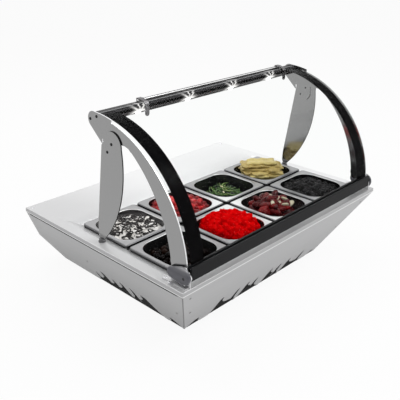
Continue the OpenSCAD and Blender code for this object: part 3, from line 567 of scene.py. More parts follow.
@dataclass(frozen=True)
class ClearSheet(Finish):
    """Clear glass that lets lamp light through to what it covers, with only a weak mirror image."""

    tint: Colour
    mirror: float = 0.010

    def shade(self, s: Shader) -> bpy.types.Material:
        """Glass for the eye, and a clear pass for shadow and diffuse rays.

        Args:
            s: the node tree under construction.

        Returns:
            The finished material.
        """
        glass = s.node(
            "ShaderNodeBsdfPrincipled",
            None,
            {
                "Base Color": self.tint,
                "Roughness": (s.noise(3.0) - 0.5) * 0.004 + 0.004,
                "IOR": 1.0,
                "Transmission Weight": 1.0,
                "Coat Weight": self.mirror,
                "Coat Roughness": 0.01,
            },
        )
        clear = s.node("ShaderNodeBsdfTransparent", None, {"Color": (0.96, 0.97, 0.97)})
        return s.blend(s.rays("Shadow", "Diffuse"), glass, clear)


@dataclass(frozen=True)
class Lit(Finish):
    """A glowing lens."""

    tone: Colour
    strength: float

    def shade(self, s: Shader) -> bpy.types.Material:
        """An even glow with a slightly cooler rim.

        Args:
            s: the node tree under construction.

        Returns:
            The finished material.
        """
        slow = s.noise(300.0)
        return s.surface(
            {
                "Base Color": self.tone,
                "Roughness": 0.2,
                "Emission Color": s.mix(slow * 0.2, self.tone, (0.8, 0.9, 1.0)),
                "Emission Strength": self.strength,
            }
        )


@dataclass(frozen=True)
class LevelTones(Finish):
    """Tones in level bands, as on a plated rod that mirrors a dark room or on a dome lit from above."""

    bands: Stops
    heights: tuple[float, float]
    metal: float

    def shade(self, s: Shader) -> bpy.types.Material:
        """The bands go by the share of the height.

        Args:
            s: the node tree under construction.

        Returns:
            The finished material.
        """
        low, high = self.heights
        return s.surface(
            {
                "Base Color": s.ramp((s.axes()[2] - low) / (high - low), self.bands),
                "Metallic": self.metal,
                "Roughness": (s.noise(8.0) - 0.5) * 0.1 + 0.3,
            }
        )


@dataclass(frozen=True)
class LampBar(Finish):
    """Dark anodised extrusion with lengthwise bands of painted highlight and shade, and a painted glow of the
    lamps' light in halos and rays.
    """

    bands: Stops
    heights: tuple[float, float]
    lamps: tuple[Spot, ...]
    spill: float
    stretch: float = 0.14
    rays: float = 3.5
    ray_turn: float = 0.4
    ray_reach: float = 2.6

    def shade(self, s: Shader) -> bpy.types.Material:
        """The painted bands go by height. The painted glow's halos are long along the bar, and its rays go by
        a high power of a cosine.

        Args:
            s: the node tree under construction.

        Returns:
            The finished material.
        """
        x, y, z = s.axes()
        glow: Value = 0.0
        for lx, ly, lz in self.lamps:
            dx, dy, dz = x - lx, y - ly, z - lz
            across = dy * dy + dz * dz
            halo = 1.0 - ((dx * dx * self.stretch + across) ** 0.5).step(0.0, self.spill)
            reach = 1.0 - ((dx * dx + across) ** 0.5).step(0.0, self.ray_reach * self.spill)
            ray = abs((dz.bearing(dx) * self.rays + self.ray_turn).cosine()) ** 10.0
            glow = glow + halo ** 2.2 * 1.5 + ray * reach ** 1.6 * 1.8
        low, high = self.heights
        tone = s.ramp((z - low) / (high - low), self.bands)
        return s.surface(
            {
                "Base Color": tone,
                "Roughness": (s.noise(6.0) - 0.5) * 0.1 + 0.38,
                "Specular IOR Level": 0.05,
                # The bar glows with the lamps' painted light, though it is no lamp.
                "Emission Color": s.dimmed(glow, (1.0, 0.98, 0.96)),
                "Emission Strength": 1.0,
            }
        )


@dataclass(frozen=True)
class Morsel(Finish):
    """Moist food: a spread of tones by piece, mottled inside each piece."""

    stops: Stops
    rough: float = 0.3
    spots: float = 160.0
    spread: float = 0.35
    coat: float = 0.15
    lumps: float = 0.3
    shine: float = 0.25

    def shade(self, s: Shader) -> bpy.types.Material:
        """The piece's own tone, shifted by noise, goes through the ramp.

        Args:
            s: the node tree under construction.

        Returns:
            The finished material.
        """
        own = s.attribute("tone")
        mottle = s.noise(self.spots, 3.0)
        fine = s.noise(self.spots * 4.0, 2.0)
        value = own * (1.0 - self.spread) + mottle * self.spread
        return s.surface(
            {
                "Base Color": s.ramp(value, self.stops),
                "Roughness": (mottle - 0.5) * 0.3 + self.rough,
                "Specular IOR Level": self.shine,
                "Coat Weight": self.coat,
                "Coat Roughness": 0.1,
                "Normal": s.bump(fine + mottle, self.lumps, 0.0008),
            }
        )


# ---------------------------------------------------------------- mesh helpers


@dataclass
class Surface:
    """Points and faces of a mesh, with an optional number per point.

    The faces come in groups. Each group is an array with one row of point indices for each face.
    """

    points: Array
    faces: list[Array]
    tone: Optional[Array] = None

    @classmethod
    def joined(cls, parts: Sequence["Surface"]) -> "Surface":
        """Several surfaces as one.

        Args:
            parts: the surfaces.

        Returns:
            Their points one after the other, with the faces renumbered.
        """
        starts = np.cumsum([0] + [len(p.points) for p in parts])
        faces = [group + start for p, start in zip(parts, starts) for group in p.faces]
        toned = all(p.tone is not None for p in parts)
        tone = np.concatenate([p.tone for p in parts]) if toned else None
        return cls(np.concatenate([p.points for p in parts]), faces, tone)


def grid_faces(rows: int, cols: int, closed: bool = False) -> Array:
    """Quads of a grid of points that is closed along its columns.

    Args:
        rows: number of rows of points.
        cols: number of columns.
        closed: whether the last row joins the first one too.

    Returns:
        One row of four point indices for each quad.
    """
    r, c = np.meshgrid(np.arange(rows if closed else rows - 1), np.arange(cols), indexing="ij")
    up, n = (r + 1) % rows, (c + 1) % cols
    return np.stack([r * cols + c, r * cols + n, up * cols + n, up * cols + c], -1).reshape(-1, 4)


def level(outline: Array, z: Union[float, Array], centre: Sequence[float] = (0.0, 0.0)) -> Array:
    """An (x, y) outline about a centre, as points in space at a height."""
    x, y = outline[:, 0] + centre[0], outline[:, 1] + centre[1]
    return np.column_stack([x, y, np.broadcast_to(z, len(outline))])


def round_rect(half_w: float, half_d: float, radius: float, corner: int = 10, edge: int = 4) -> Array:
    """Points of a rectangle with round corners, anticlockwise from the right-hand side.

    Each corner is a quarter circle about a centre set in by the radius, and each side is divided evenly.

    Args:
        half_w: half the width.
        half_d: half the depth.
        radius: radius of the corners.
        corner: steps in each corner.
        edge: steps along each side.

    Returns:
        The (x, y) points.
    """
    radius = max(min(radius, half_w, half_d), 1e-6)
    angle = np.radians(np.linspace(0, 90, corner + 1))
    signs = np.array([(1, 1), (-1, 1), (-1, -1), (1, -1)], float)
    arcs = []
    for k in range(4):
        a = angle + k * np.pi / 2
        centre = signs[k] * (half_w - radius, half_d - radius)
        arcs.append(centre + radius * np.stack([np.cos(a), np.sin(a)], -1))
    out = []
    for k in range(4):
        out.append(arcs[k])
        a, b = arcs[k][-1], arcs[(k + 1) % 4][0]
        t = np.linspace(0, 1, edge + 1)[1:-1, None]
        out.append(a + (b - a) * t)
    return np.concatenate(out)


def loft(rings: list[Array], cap_first: bool = True, cap_last: bool = True, flip: bool = False) -> Surface:
    """A skin over rings with the same number of points, with flat caps where asked.

    Args:
        rings: the rings, from first to last.
        cap_first: whether the first ring is closed by a face.
        cap_last: whether the last one is.
        flip: whether the faces are turned over.

    Returns:
        The skin.
    """
    cols = len(rings[0])
    quads = grid_faces(len(rings), cols)
    faces = [quads[:, ::-1] if flip else quads]
    end = np.arange(cols)[None]
    if cap_first:
        faces.append(end if flip else end[:, ::-1])
    if cap_last:
        faces.append((end[:, ::-1] if flip else end) + (len(rings) - 1) * cols)
    return Surface(np.concatenate(rings), faces)


def lathe(profile: Array, centre: Sequence[float], axis: Sequence[float], count: int = 48) -> Surface:
    """A turned surface: a profile swept in a full circle about an axis, with caps at both ends.

    Args:
        profile: its (radius, height) pairs.
        centre: where the axis starts.
        axis: the axis's direction.
        count: points in the circle.

    Returns:
        The turned surface.
    """
    w = np.array(axis, float) / np.linalg.norm(axis)
    u = np.cross(w, (0.0, 0.0, 1.0) if abs(w[2]) < 0.9 else (1.0, 0.0, 0.0))
    u /= np.linalg.norm(u)
    v = np.cross(w, u)
    a = np.linspace(0, TURN, count, endpoint=False)
    turn = np.cos(a)[:, None] * u + np.sin(a)[:, None] * v
    return loft([np.array(centre) + r * turn + h * w for r, h in profile])


def rounded_block(a: float, b: float, c: float, square: float, rows: int = 7, cols: int = 12) -> Surface:
    """A superellipsoid: sines and cosines of the grid angles, raised to a power that squares it up.

    Args:
        a: half its length.
        b: half its width.
        c: half its height.
        square: the power, from 1 for an ellipsoid down to a box near 0.
        rows: points from pole to pole.
        cols: points around.

    Returns:
        The block about the origin.
    """
    lat = np.linspace(-np.pi / 2, np.pi / 2, rows)[1:-1]
    lon = np.linspace(0, TURN, cols, endpoint=False)

    def bent(value: Array) -> Array:
        """Keeps the sign and bends the size."""
        return np.sign(value) * np.abs(value) ** square

    la, lo = np.meshgrid(lat, lon, indexing="ij")
    x = a * bent(np.cos(la)) * bent(np.cos(lo))
    y = b * bent(np.cos(la)) * bent(np.sin(lo))
    body = np.stack([x, y, c * bent(np.sin(la))], -1)
    points = np.concatenate([body.reshape(-1, 3), [[0, 0, -c], [0, 0, c]]])
    here = np.arange(cols)
    beside = (here + 1) % cols
    last, pole = (rows - 3) * cols, np.full(cols, len(points) - 2)
    bottom = np.stack([pole, beside, here], -1)
    crown = np.stack([last + here, last + beside, pole + 1], -1)
    return Surface(points, [grid_faces(rows - 2, cols), bottom, crown])


def ring_slice(radius: float, tube: float, flat: float, around: int = 14, across: int = 8) -> Surface:
    """A torus squashed along its axis: a slice of a stoned fruit.

    Args:
        radius: from the middle to the middle of the tube.
        tube: radius of the tube in the slice's plane.
        flat: half the slice's thickness.
        around: points around the slice.
        across: points around the tube.

    Returns:
        The slice about the origin.
    """
    a = np.linspace(0, TURN, around, endpoint=False)
    b = np.linspace(0, TURN, across, endpoint=False)
    aa, bb = np.meshgrid(a, b, indexing="ij")
    r = radius + tube * np.cos(bb)
    points = np.stack([r * np.cos(aa), r * np.sin(aa), flat * np.sin(bb)], -1).reshape(-1, 3)
    return Surface(points, [grid_faces(around, across, True)[:, [0, 3, 2, 1]]])


def bent_strip(length: float, width: float, thick: float, curl: float, steps: int = 12) -> Surface:
    """A thin strip along a circular arc, with an oval section that narrows at the ends.

    Args:
        length: length along the arc.
        width: greatest width.
        thick: greatest thickness.
        curl: angle in radians that the middle line turns by over its length.
        steps: number of sections.

    Returns:
        The strip about the origin.
    """
    t = np.linspace(-0.5, 0.5, steps)
    radius = length / curl
    path = np.stack([radius * np.sin(t * curl), radius * (1 - np.cos(t * curl)), 0 * t], -1)
    side = np.stack([-np.sin(t * curl), np.cos(t * curl), 0 * t], -1)
    up = np.array([0.0, 0.0, 1.0])
    taper = (1 - (2 * np.abs(t)) ** 4) * 0.75 + 0.25
    angle = np.linspace(0, TURN, 8, endpoint=False)
    wide = (width / 2) * np.cos(angle)[None, :, None] * side[:, None]
    high = (thick / 2) * np.sin(angle)[None, :, None] * up
    return loft(list(path[:, None] + taper[:, None, None] * (wide + high)))


def scatter(template: Surface, spots: Array, turns: Array, sizes: Array, tones: Array) -> Surface:
    """Copies of a template at each spot, turned and scaled.

    Args:
        template: the piece about the origin.
        spots: N by 3 places.
        turns: N by 3 by 3 rotations.
        sizes: N scales.
        tones: N numbers, one per copy.

    Returns:
        One surface with all the copies.
    """
    local = template.points[None] * sizes[:, None, None]
    points = np.einsum("nij,npj->npi", turns, local) + spots[:, None]
    count = len(template.points)
    shift = (np.arange(len(spots)) * count)[:, None, None]
    faces = [(group[None] + shift).reshape(-1, group.shape[1]) for group in template.faces]
    return Surface(points.reshape(-1, 3), faces, np.repeat(tones, count))


def turns_about(rng: np.random.Generator, count: int, tilt: float, heading: tuple[float, float]) -> Array:
    """Rotations about Z to a heading, give or take its spread, then leant over by up to tilt radians any way.

    Args:
        rng: the source of chance.
        count: how many.
        tilt: greatest lean in radians.
        heading: the angle about Z and how far either way it strays.

    Returns:
        An array of count 3 by 3 rotations.
    """
    spin = heading[0] + rng.uniform(-heading[1], heading[1], count)
    lean, way = rng.uniform(0, tilt, count), rng.uniform(0, TURN, count)
    zero, one = np.zeros(count), np.ones(count)
    c, s = np.cos(spin), np.sin(spin)
    rz = np.stack([c, -s, zero, s, c, zero, zero, zero, one], -1).reshape(-1, 3, 3)
    kx, ky = np.cos(way), np.sin(way)
    k = np.stack([zero, zero, ky, zero, zero, -kx, -ky, kx, zero], -1).reshape(-1, 3, 3)
    s, c = np.sin(lean)[:, None, None], np.cos(lean)[:, None, None]
    return (np.eye(3) + s * k + (1 - c) * (k @ k)) @ rz


def put(
    name: str,
    surface: Surface,
    finish: Finish,
    body: Body,
    stands_for: Sequence[str] = (),
    wall: float = 0.0,
    crease: float = 35.0,
) -> bpy.types.Object:
    """Makes a surface into a piece of the scene.

    Args:
        name: the piece's name.
        surface: its points and faces in the row frame.
        finish: its finish.
        body: the body that it rides on.
        stands_for: the solids that it replaces.
        wall: thickness given to an open skin, inwards.
        crease: the angle in degrees above which an edge stays sharp.

    Returns:
        The new object.
    """
    mesh = bpy.data.meshes.new(name)
    faces = [face for group in surface.faces for face in group.tolist()]
    mesh.from_pydata(surface.points.tolist(), [], faces)
    if surface.tone is not None:
        tones = mesh.attributes.new("tone", "FLOAT", "POINT")
        tones.data.foreach_set("value", surface.tone.astype(np.float32))
    mesh.update()
    mesh.shade_smooth()
    mesh.set_sharp_from_angle(angle=math.radians(crease))
    piece = bpy.data.objects.new(name, mesh)
    bpy.context.scene.collection.objects.link(piece)
    mesh.materials.append(finish.material())
    if wall:
        skin = piece.modifiers.new("wall", "SOLIDIFY")
        skin.thickness, skin.offset = wall, -1.0
    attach(piece, body.value)
    if stands_for:
        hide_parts(*stands_for)
    log.info("%s: %d points on %s", name, len(mesh.vertices), body.value)
    return piece


def dress(finish: Finish, *nodes: str) -> None:
    """Gives solids that keep their shape a finish.

    Args:
        finish: the finish.
        nodes: the solids' names.
    """
    for name in nodes:
        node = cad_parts[name]
        if not node.material_slots:
            node.data.materials.append(finish.material())
        for s in node.material_slots:
            s.material = finish.material()
        log.info("%s: %s", name, finish.name)


# ---------------------------------------------------------------- the display


@dataclass
class Deck:
    """The deck's folded sheet, in one skin from the lip to the pans' opening."""

    half_w: float = 0.385
    depth: float = 0.600
    lip: float = 0.011
    sheet: float = 0.0015
    fold: float = 0.0022
    hem: float = 0.0006
    open_x: float = 0.338
    open_y: float = 0.168
    open_v: float = 0.224
    open_corner: float = 0.001
    corner: float = 0.0022

    def build(self) -> None:
        """Rings from the rolled hem up the lip, over the fold and across to the opening."""
        low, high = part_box("deck_top")
        top, front = high.z, low.y
        mid = front + self.depth / 2
        f = self.fold
        face = -self.hem
        steps = [(-0.0015, 0.0), (-0.0002, 0.0003), (0.0, 0.0012), (face * 0.4, 0.0021), (face, 0.0027)]
        steps.append((face, self.lip - f))
        for a in np.radians([22.5, 45, 67.5, 90]):
            steps.append((face - f * (1 - math.cos(a)), self.lip - f + f * math.sin(a)))
        rings = []
        for out, up in steps:
            outline = round_rect(self.half_w + out, self.depth / 2 + out, self.corner)
            rings.append(level(outline, top - self.lip + up, (0.0, mid)))
        hole = round_rect(self.open_x, self.open_y, self.open_corner)
        inner = level(hole, top, (0.0, front + self.open_v))
        outer = rings[-1]
        for t in (0.04, 0.5):
            rings.append(outer + (inner - outer) * t)
        rings.append(inner)
        # The deck's tones are painted light: a lit top, painted shade at the left end, the front and the lip,
        # and a painted highlight at the hem.
        steel = DeckSteel(
            "deck steel",
            top=grey(0.88, 0.005),
            side=grey(0.64, 0.005),
            front=grey(0.55, 0.005),
            strip=(front + 0.02, front + 0.10),
            lip=grey(0.47, 0.005),
            line=grey(0.92),
            hem_z=top - self.lip,
        )
        skin = loft(rings, False, False)
        put("deck_sheet", skin, steel, Body.HOUSING, ["deck_top"], self.sheet, 50.0)


def skirt_sheet(name: str, tone: Colour, grain: tuple[float, float, float], faded: float) -> BrushedSheet:
    """Brushed sheet with painted shade that darkens it towards the table.

    Args:
        name: the finish's name.
        tone: its colour.
        grain: scale of the grain along each axis.
        faded: the share of the light that is left at the table.

    Returns:
        The finish.
    """
    return BrushedSheet(name, tone, grain, 0.4, 0.42, 0.03, 2, (0.0, 0.19), faded)


@dataclass
class Skirts:
    """The sloping skirts, the rear cover and the frame and tray behind them."""

    # The skirt tones and fades are painted light on one stainless sheet: each darkens towards the table, the
    # side skirts are the darkest and the rear sheet the lightest.
    front: Finish = skirt_sheet("front skirt", grey(0.47, 0.005), (2.0, 200.0, 240.0), 0.86)
    left: Finish = skirt_sheet("side skirt", grey(0.40, 0.004), (200.0, 2.0, 240.0), 0.74)
    rear: Finish = skirt_sheet("rear sheet", grey(0.56, 0.01), (2.0, 240.0, 240.0), 0.84)
    # Near-black coat that also paints the shade in the gap under the side lips and behind the flame cut-outs.
    black: Finish = Coated("black frame", grey(0.004), 0.8, 0.3, 700.0, shine=0.1)
    toe: float = 0.272
    seam_shade: float = 0.0026

    def build(self) -> None:
        """Finishes the solids. The front skirt's ends get a painted shadow line where it meets the side
        skirts.
        """
        low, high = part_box("front_skirt")
        slope = (high.x - self.toe) / (high.z - low.z)
        dress(replace(self.front, seam_shade=(self.seam_shade, self.toe - slope * low.z, slope)), "front_skirt")
        dress(self.left, "left_skirt", "right_skirt")
        dress(self.rear, "rear_cover")
        dress(self.black, "subframe", "base_tray")


@dataclass
class Feet:
    """Turned rubber feet and the rests under the blades."""

    radius: float = 0.015
    rubber: Finish = Coated("rubber", grey(0.02, 0.001), 0.75, 0.5, 600.0)

    def build(self) -> None:
        """Each foot is a profile with a rounded lower edge."""
        low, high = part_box("rubber_feet")
        r, h = self.radius, high.z
        profile = np.array([(0.6 * r, 0), (r - 0.0016, 0), (r - 0.0004, 0.0006), (r, 0.0018), (r, h)])
        spots = [(x, y) for x in (low.x + r, high.x - r) for y in (low.y + r, high.y - r)]
        parts = [lathe(profile, (x, y, 0.0), (0, 0, 1)) for x, y in spots]
        put("feet", Surface.joined(parts), self.rubber, Body.HOUSING, ["rubber_feet"])
        dress(Coated("blade rests", grey(0.15, 0.005), 0.6, 0.4, 600.0), "blade_rests")


@dataclass
class Pans:
    """The eight pans: rim, rolled edges and bowl in one skin each."""

    rim_w: float = 0.166
    rim_d: float = 0.170
    mouth_w: float = 0.142
    mouth_d: float = 0.146
    mouth_r: float = 0.040
    rim_corner: float = 0.009
    rim_round: float = 0.0026
    mouth_round: float = 0.0022
    floor_round: float = 0.010
    flat_edge: float = 0.0045
    dip: float = 0.0032
    depth: float = 0.060
    wall: float = 0.0008
    names: tuple[str, ...] = tuple(f"pan_{row}_{i}" for row in ("front", "rear") for i in range(1, 5))

    def rings(self, cx: float, cy: float, deck: float, top: float) -> list[Array]:
        """Rings from the rim's foot on the deck, over the rim and down to the bowl's floor.

        The rim's outer edge and the mouth's edge are quarter rounds, and the bowl ends in a floor radius.

        Args:
            cx: the pan's middle along X.
            cy: the pan's middle along Y.
            deck: height of the deck.
            top: height of the rim.

        Returns:
            The rings from first to last.
        """
        w, d, mw, md, r = self.rim_w / 2, self.rim_d / 2, self.mouth_w / 2, self.mouth_d / 2, self.mouth_r
        edge, lip, f, corner = self.rim_round, self.mouth_round, self.floor_round, self.rim_corner
        rows = [(w, d, corner, deck), (w, d, corner, top - edge)]
        for a in QUARTER_ROUND:
            s = edge * (1 - math.cos(a))
            rows.append((w - s, d - s, corner - s * 0.5, top - edge * (1 - math.sin(a))))
        rows.append((w - self.flat_edge, d - self.flat_edge, 0.010, top - 0.0001))
        rows.append((mw + self.dip, md + self.dip, r + self.dip, top - 0.0004))
        rows.append((mw + lip, md + lip, r + lip, top))
        for a in QUARTER_ROUND:
            s = lip * (1 - math.sin(a))
            rows.append((mw + s, md + s, r + s, top - lip * (1 - math.cos(a))))
        floor = top - self.depth + self.wall
        rows.append((mw, md, r, floor + f))
        for a in QUARTER_ROUND:
            s = f * (1 - math.cos(a))
            rows.append((mw - s, md - s, r - s, floor + f * (1 - math.sin(a))))
        rows.append((0.012, 0.012, 0.010, floor))
        return [level(round_rect(hw, hd, rad), z, (cx, cy)) for hw, hd, rad, z in rows]

    def build(self) -> None:
        """One piece for each pan."""
        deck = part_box("deck_top")[1].z
        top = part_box(self.names[0])[1].z
        near_pan, far_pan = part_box("pan_front_2"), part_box("pan_rear_2")
        # Spots of the rims' painted highlights: on the right-hand edge of pan_front_2, at its front corner
        # and between the rows.
        painted_highlight_spots = ((near_pan[1].x, (near_pan[1].y + far_pan[0].y) / 2), (near_pan[1].x, near_pan[0].y))
        for name in self.names:
            low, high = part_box(name)
            c = (low + high) / 2
            # border and bowl are painted shade on the rim's edges and in the bowl; the highlight tone is a
            # painted highlight.
            steel = PanSteel(
                f"{name} steel",
                rim=grey(0.36, 0.005),
                painted_highlight=grey(0.92),
                border=grey(0.10, 0.005),
                bowl=(0.02, 0.019, 0.02),
                centre=(c.x, c.y, top),
                half=(self.rim_w / 2, self.rim_d / 2),
                painted_highlight_spots=painted_highlight_spots,
            )
            skin = loft(self.rings(c.x, c.y, deck, top), False, True)
            put(name + "_skin", skin, steel, Body.HOUSING, [name], self.wall, 50.0)


@dataclass
class Heap:
    """The place of one heap: a low dome over the pan's middle."""

    node: str
    slot: str
    centre: tuple[float, float]
    rim: float
    top: float
    dome: float
    seed: int
    half: tuple[float, float] = (0.0700, 0.0720)
    corner: float = 0.039
    deep: float = 0.056
    overshoot: float = 1.16
    rng: np.random.Generator = field(init=False)

    def __post_init__(self) -> None:
        """A seeded source of chance for each heap."""
        self.rng = np.random.default_rng(self.seed)

    def height(self, x: Array, y: Array) -> Array:
        """Height of the dome: its top less the sagitta of a sphere at that distance."""
        return self.top - self.dome + np.sqrt(np.maximum(self.dome**2 - x**2 - y**2, 1e-9))

    def spots(self, count: int, margin: float) -> Array:
        """Places spread over the mouth, well apart: the sunflower spiral, shaken a little.

        Places outside the rounded mouth, less the margin, are pulled in along their radius.

        Args:
            count: how many.
            margin: distance kept from the mouth's edge.

        Returns:
            The (x, y) places about the heap's middle.
        """
        k = np.arange(count) + 0.5
        r = np.sqrt(k / count)
        a = k * np.pi * (3 - np.sqrt(5)) + self.rng.normal(0, 0.12, count)
        hw, hd = self.half[0] - margin, self.half[1] - margin
        x = np.clip(r * np.cos(a) * hw * self.overshoot, -hw, hw)
        y = np.clip(r * np.sin(a) * hd * self.overshoot, -hd, hd)
        rc = max(self.corner - margin, 0.004)
        ox, oy = np.maximum(np.abs(x) - (hw - rc), 0), np.maximum(np.abs(y) - (hd - rc), 0)
        d = np.maximum(np.hypot(ox, oy), 1e-9)
        pull = np.minimum(rc / d, 1.0)
        x = np.where((ox > 0) & (oy > 0), np.sign(x) * (hw - rc + ox * pull), x)
        y = np.where((ox > 0) & (oy > 0), np.sign(y) * (hd - rc + oy * pull), y)
        return np.column_stack([x, y])

    def scattered(
        self,
        template: Surface,
        count: int,
        margin: float,
        sink: tuple[float, float],
        tilt: float,
        spread: float = 0.15,
        area: tuple[float, float, float] = (0.0, 0.0, 1.0),
        heading: tuple[float, float] = (0.0, math.pi),
        shade: float = 0.0,
    ) -> Surface:
        """Copies of a template over the dome or a part of it.

        Args:
            template: the piece about the origin.
            count: how many.
            margin: distance kept from the mouth's edge.
            sink: least and greatest depth of a copy's middle below the dome.
            tilt: greatest lean in radians.
            spread: how far sizes differ, as a share.
            area: middle and size of the part that is covered, as a shift in x and y and a scale.
            heading: angle about Z that the copies are turned to, and how far either way they stray.
            shade: share by which the tone drops towards the mouth's edge, as painted shade.

        Returns:
            The copies as one surface.
        """
        at = self.spots(count, margin) * area[2] + np.array(area[:2])
        z = self.height(at[:, 0], at[:, 1]) - self.rng.uniform(*sink, count)
        spots = np.column_stack([at[:, 0] + self.centre[0], at[:, 1] + self.centre[1], z])
        sizes = 1 + self.rng.uniform(-spread, spread, count)
        turns = turns_about(self.rng, count, tilt, heading)
        out = np.hypot(at[:, 0] / self.half[0], at[:, 1] / self.half[1])
        # Painted shade: copies further out towards the mouth's edge get darker tones.
        tones = self.rng.uniform(0, 1, count) * (1 - shade * out**3)
        return scatter(template, spots, turns, sizes, tones)

    def bed(self, drop: float, rough: float, tone: float = 0.5) -> Surface:
        """The mass under the loose pieces: the dome, lowered by drop and rippled by a few crossing waves.

        Rings shrink from the mouth's outline to the middle, and a skirt runs down into the pan.

        Args:
            drop: how far the bed lies below the dome.
            rough: height of the ripples.
            tone: the bed's place on the finish's ramp.

        Returns:
            The bed, closed below.
        """
        outline = round_rect(self.half[0], self.half[1], self.corner)
        phase = self.rng.uniform(0, WAVE_TURN, 6)
        rings = [level(outline * 0.97, self.rim - self.deep, self.centre)]
        for t in np.linspace(1.0, 0.03, 20):
            p = outline * t
            wave = sum(
                np.sin(p[:, 0] * f + phase[i]) * np.cos(p[:, 1] * g + phase[i + 3])
                for i, (f, g) in enumerate(((150, 190), (320, 260), (560, 610)))
            )
            height = self.height(p[:, 0], p[:, 1]) - drop + rough * wave / 3
            rings.append(level(p, height, self.centre))
        made = loft(rings)
        made.tone = np.full(len(made.points), tone)
        return made

    def put(
        self, name: str, surface: Surface, finish: Finish, first: bool = False, crease: float = 60.0
    ) -> None:
        """Adds a piece of the heap.

        Args:
            name: what follows the solid's name in the piece's name.
            surface: its points and faces.
            finish: its finish.
            first: whether it stands for the solid.
            crease: the angle in degrees above which an edge stays sharp.
        """
        stands_for = [self.node] if first else ()
        put(f"{self.node}_{name}", surface, finish, Body.HOUSING, stands_for, 0.0, crease)


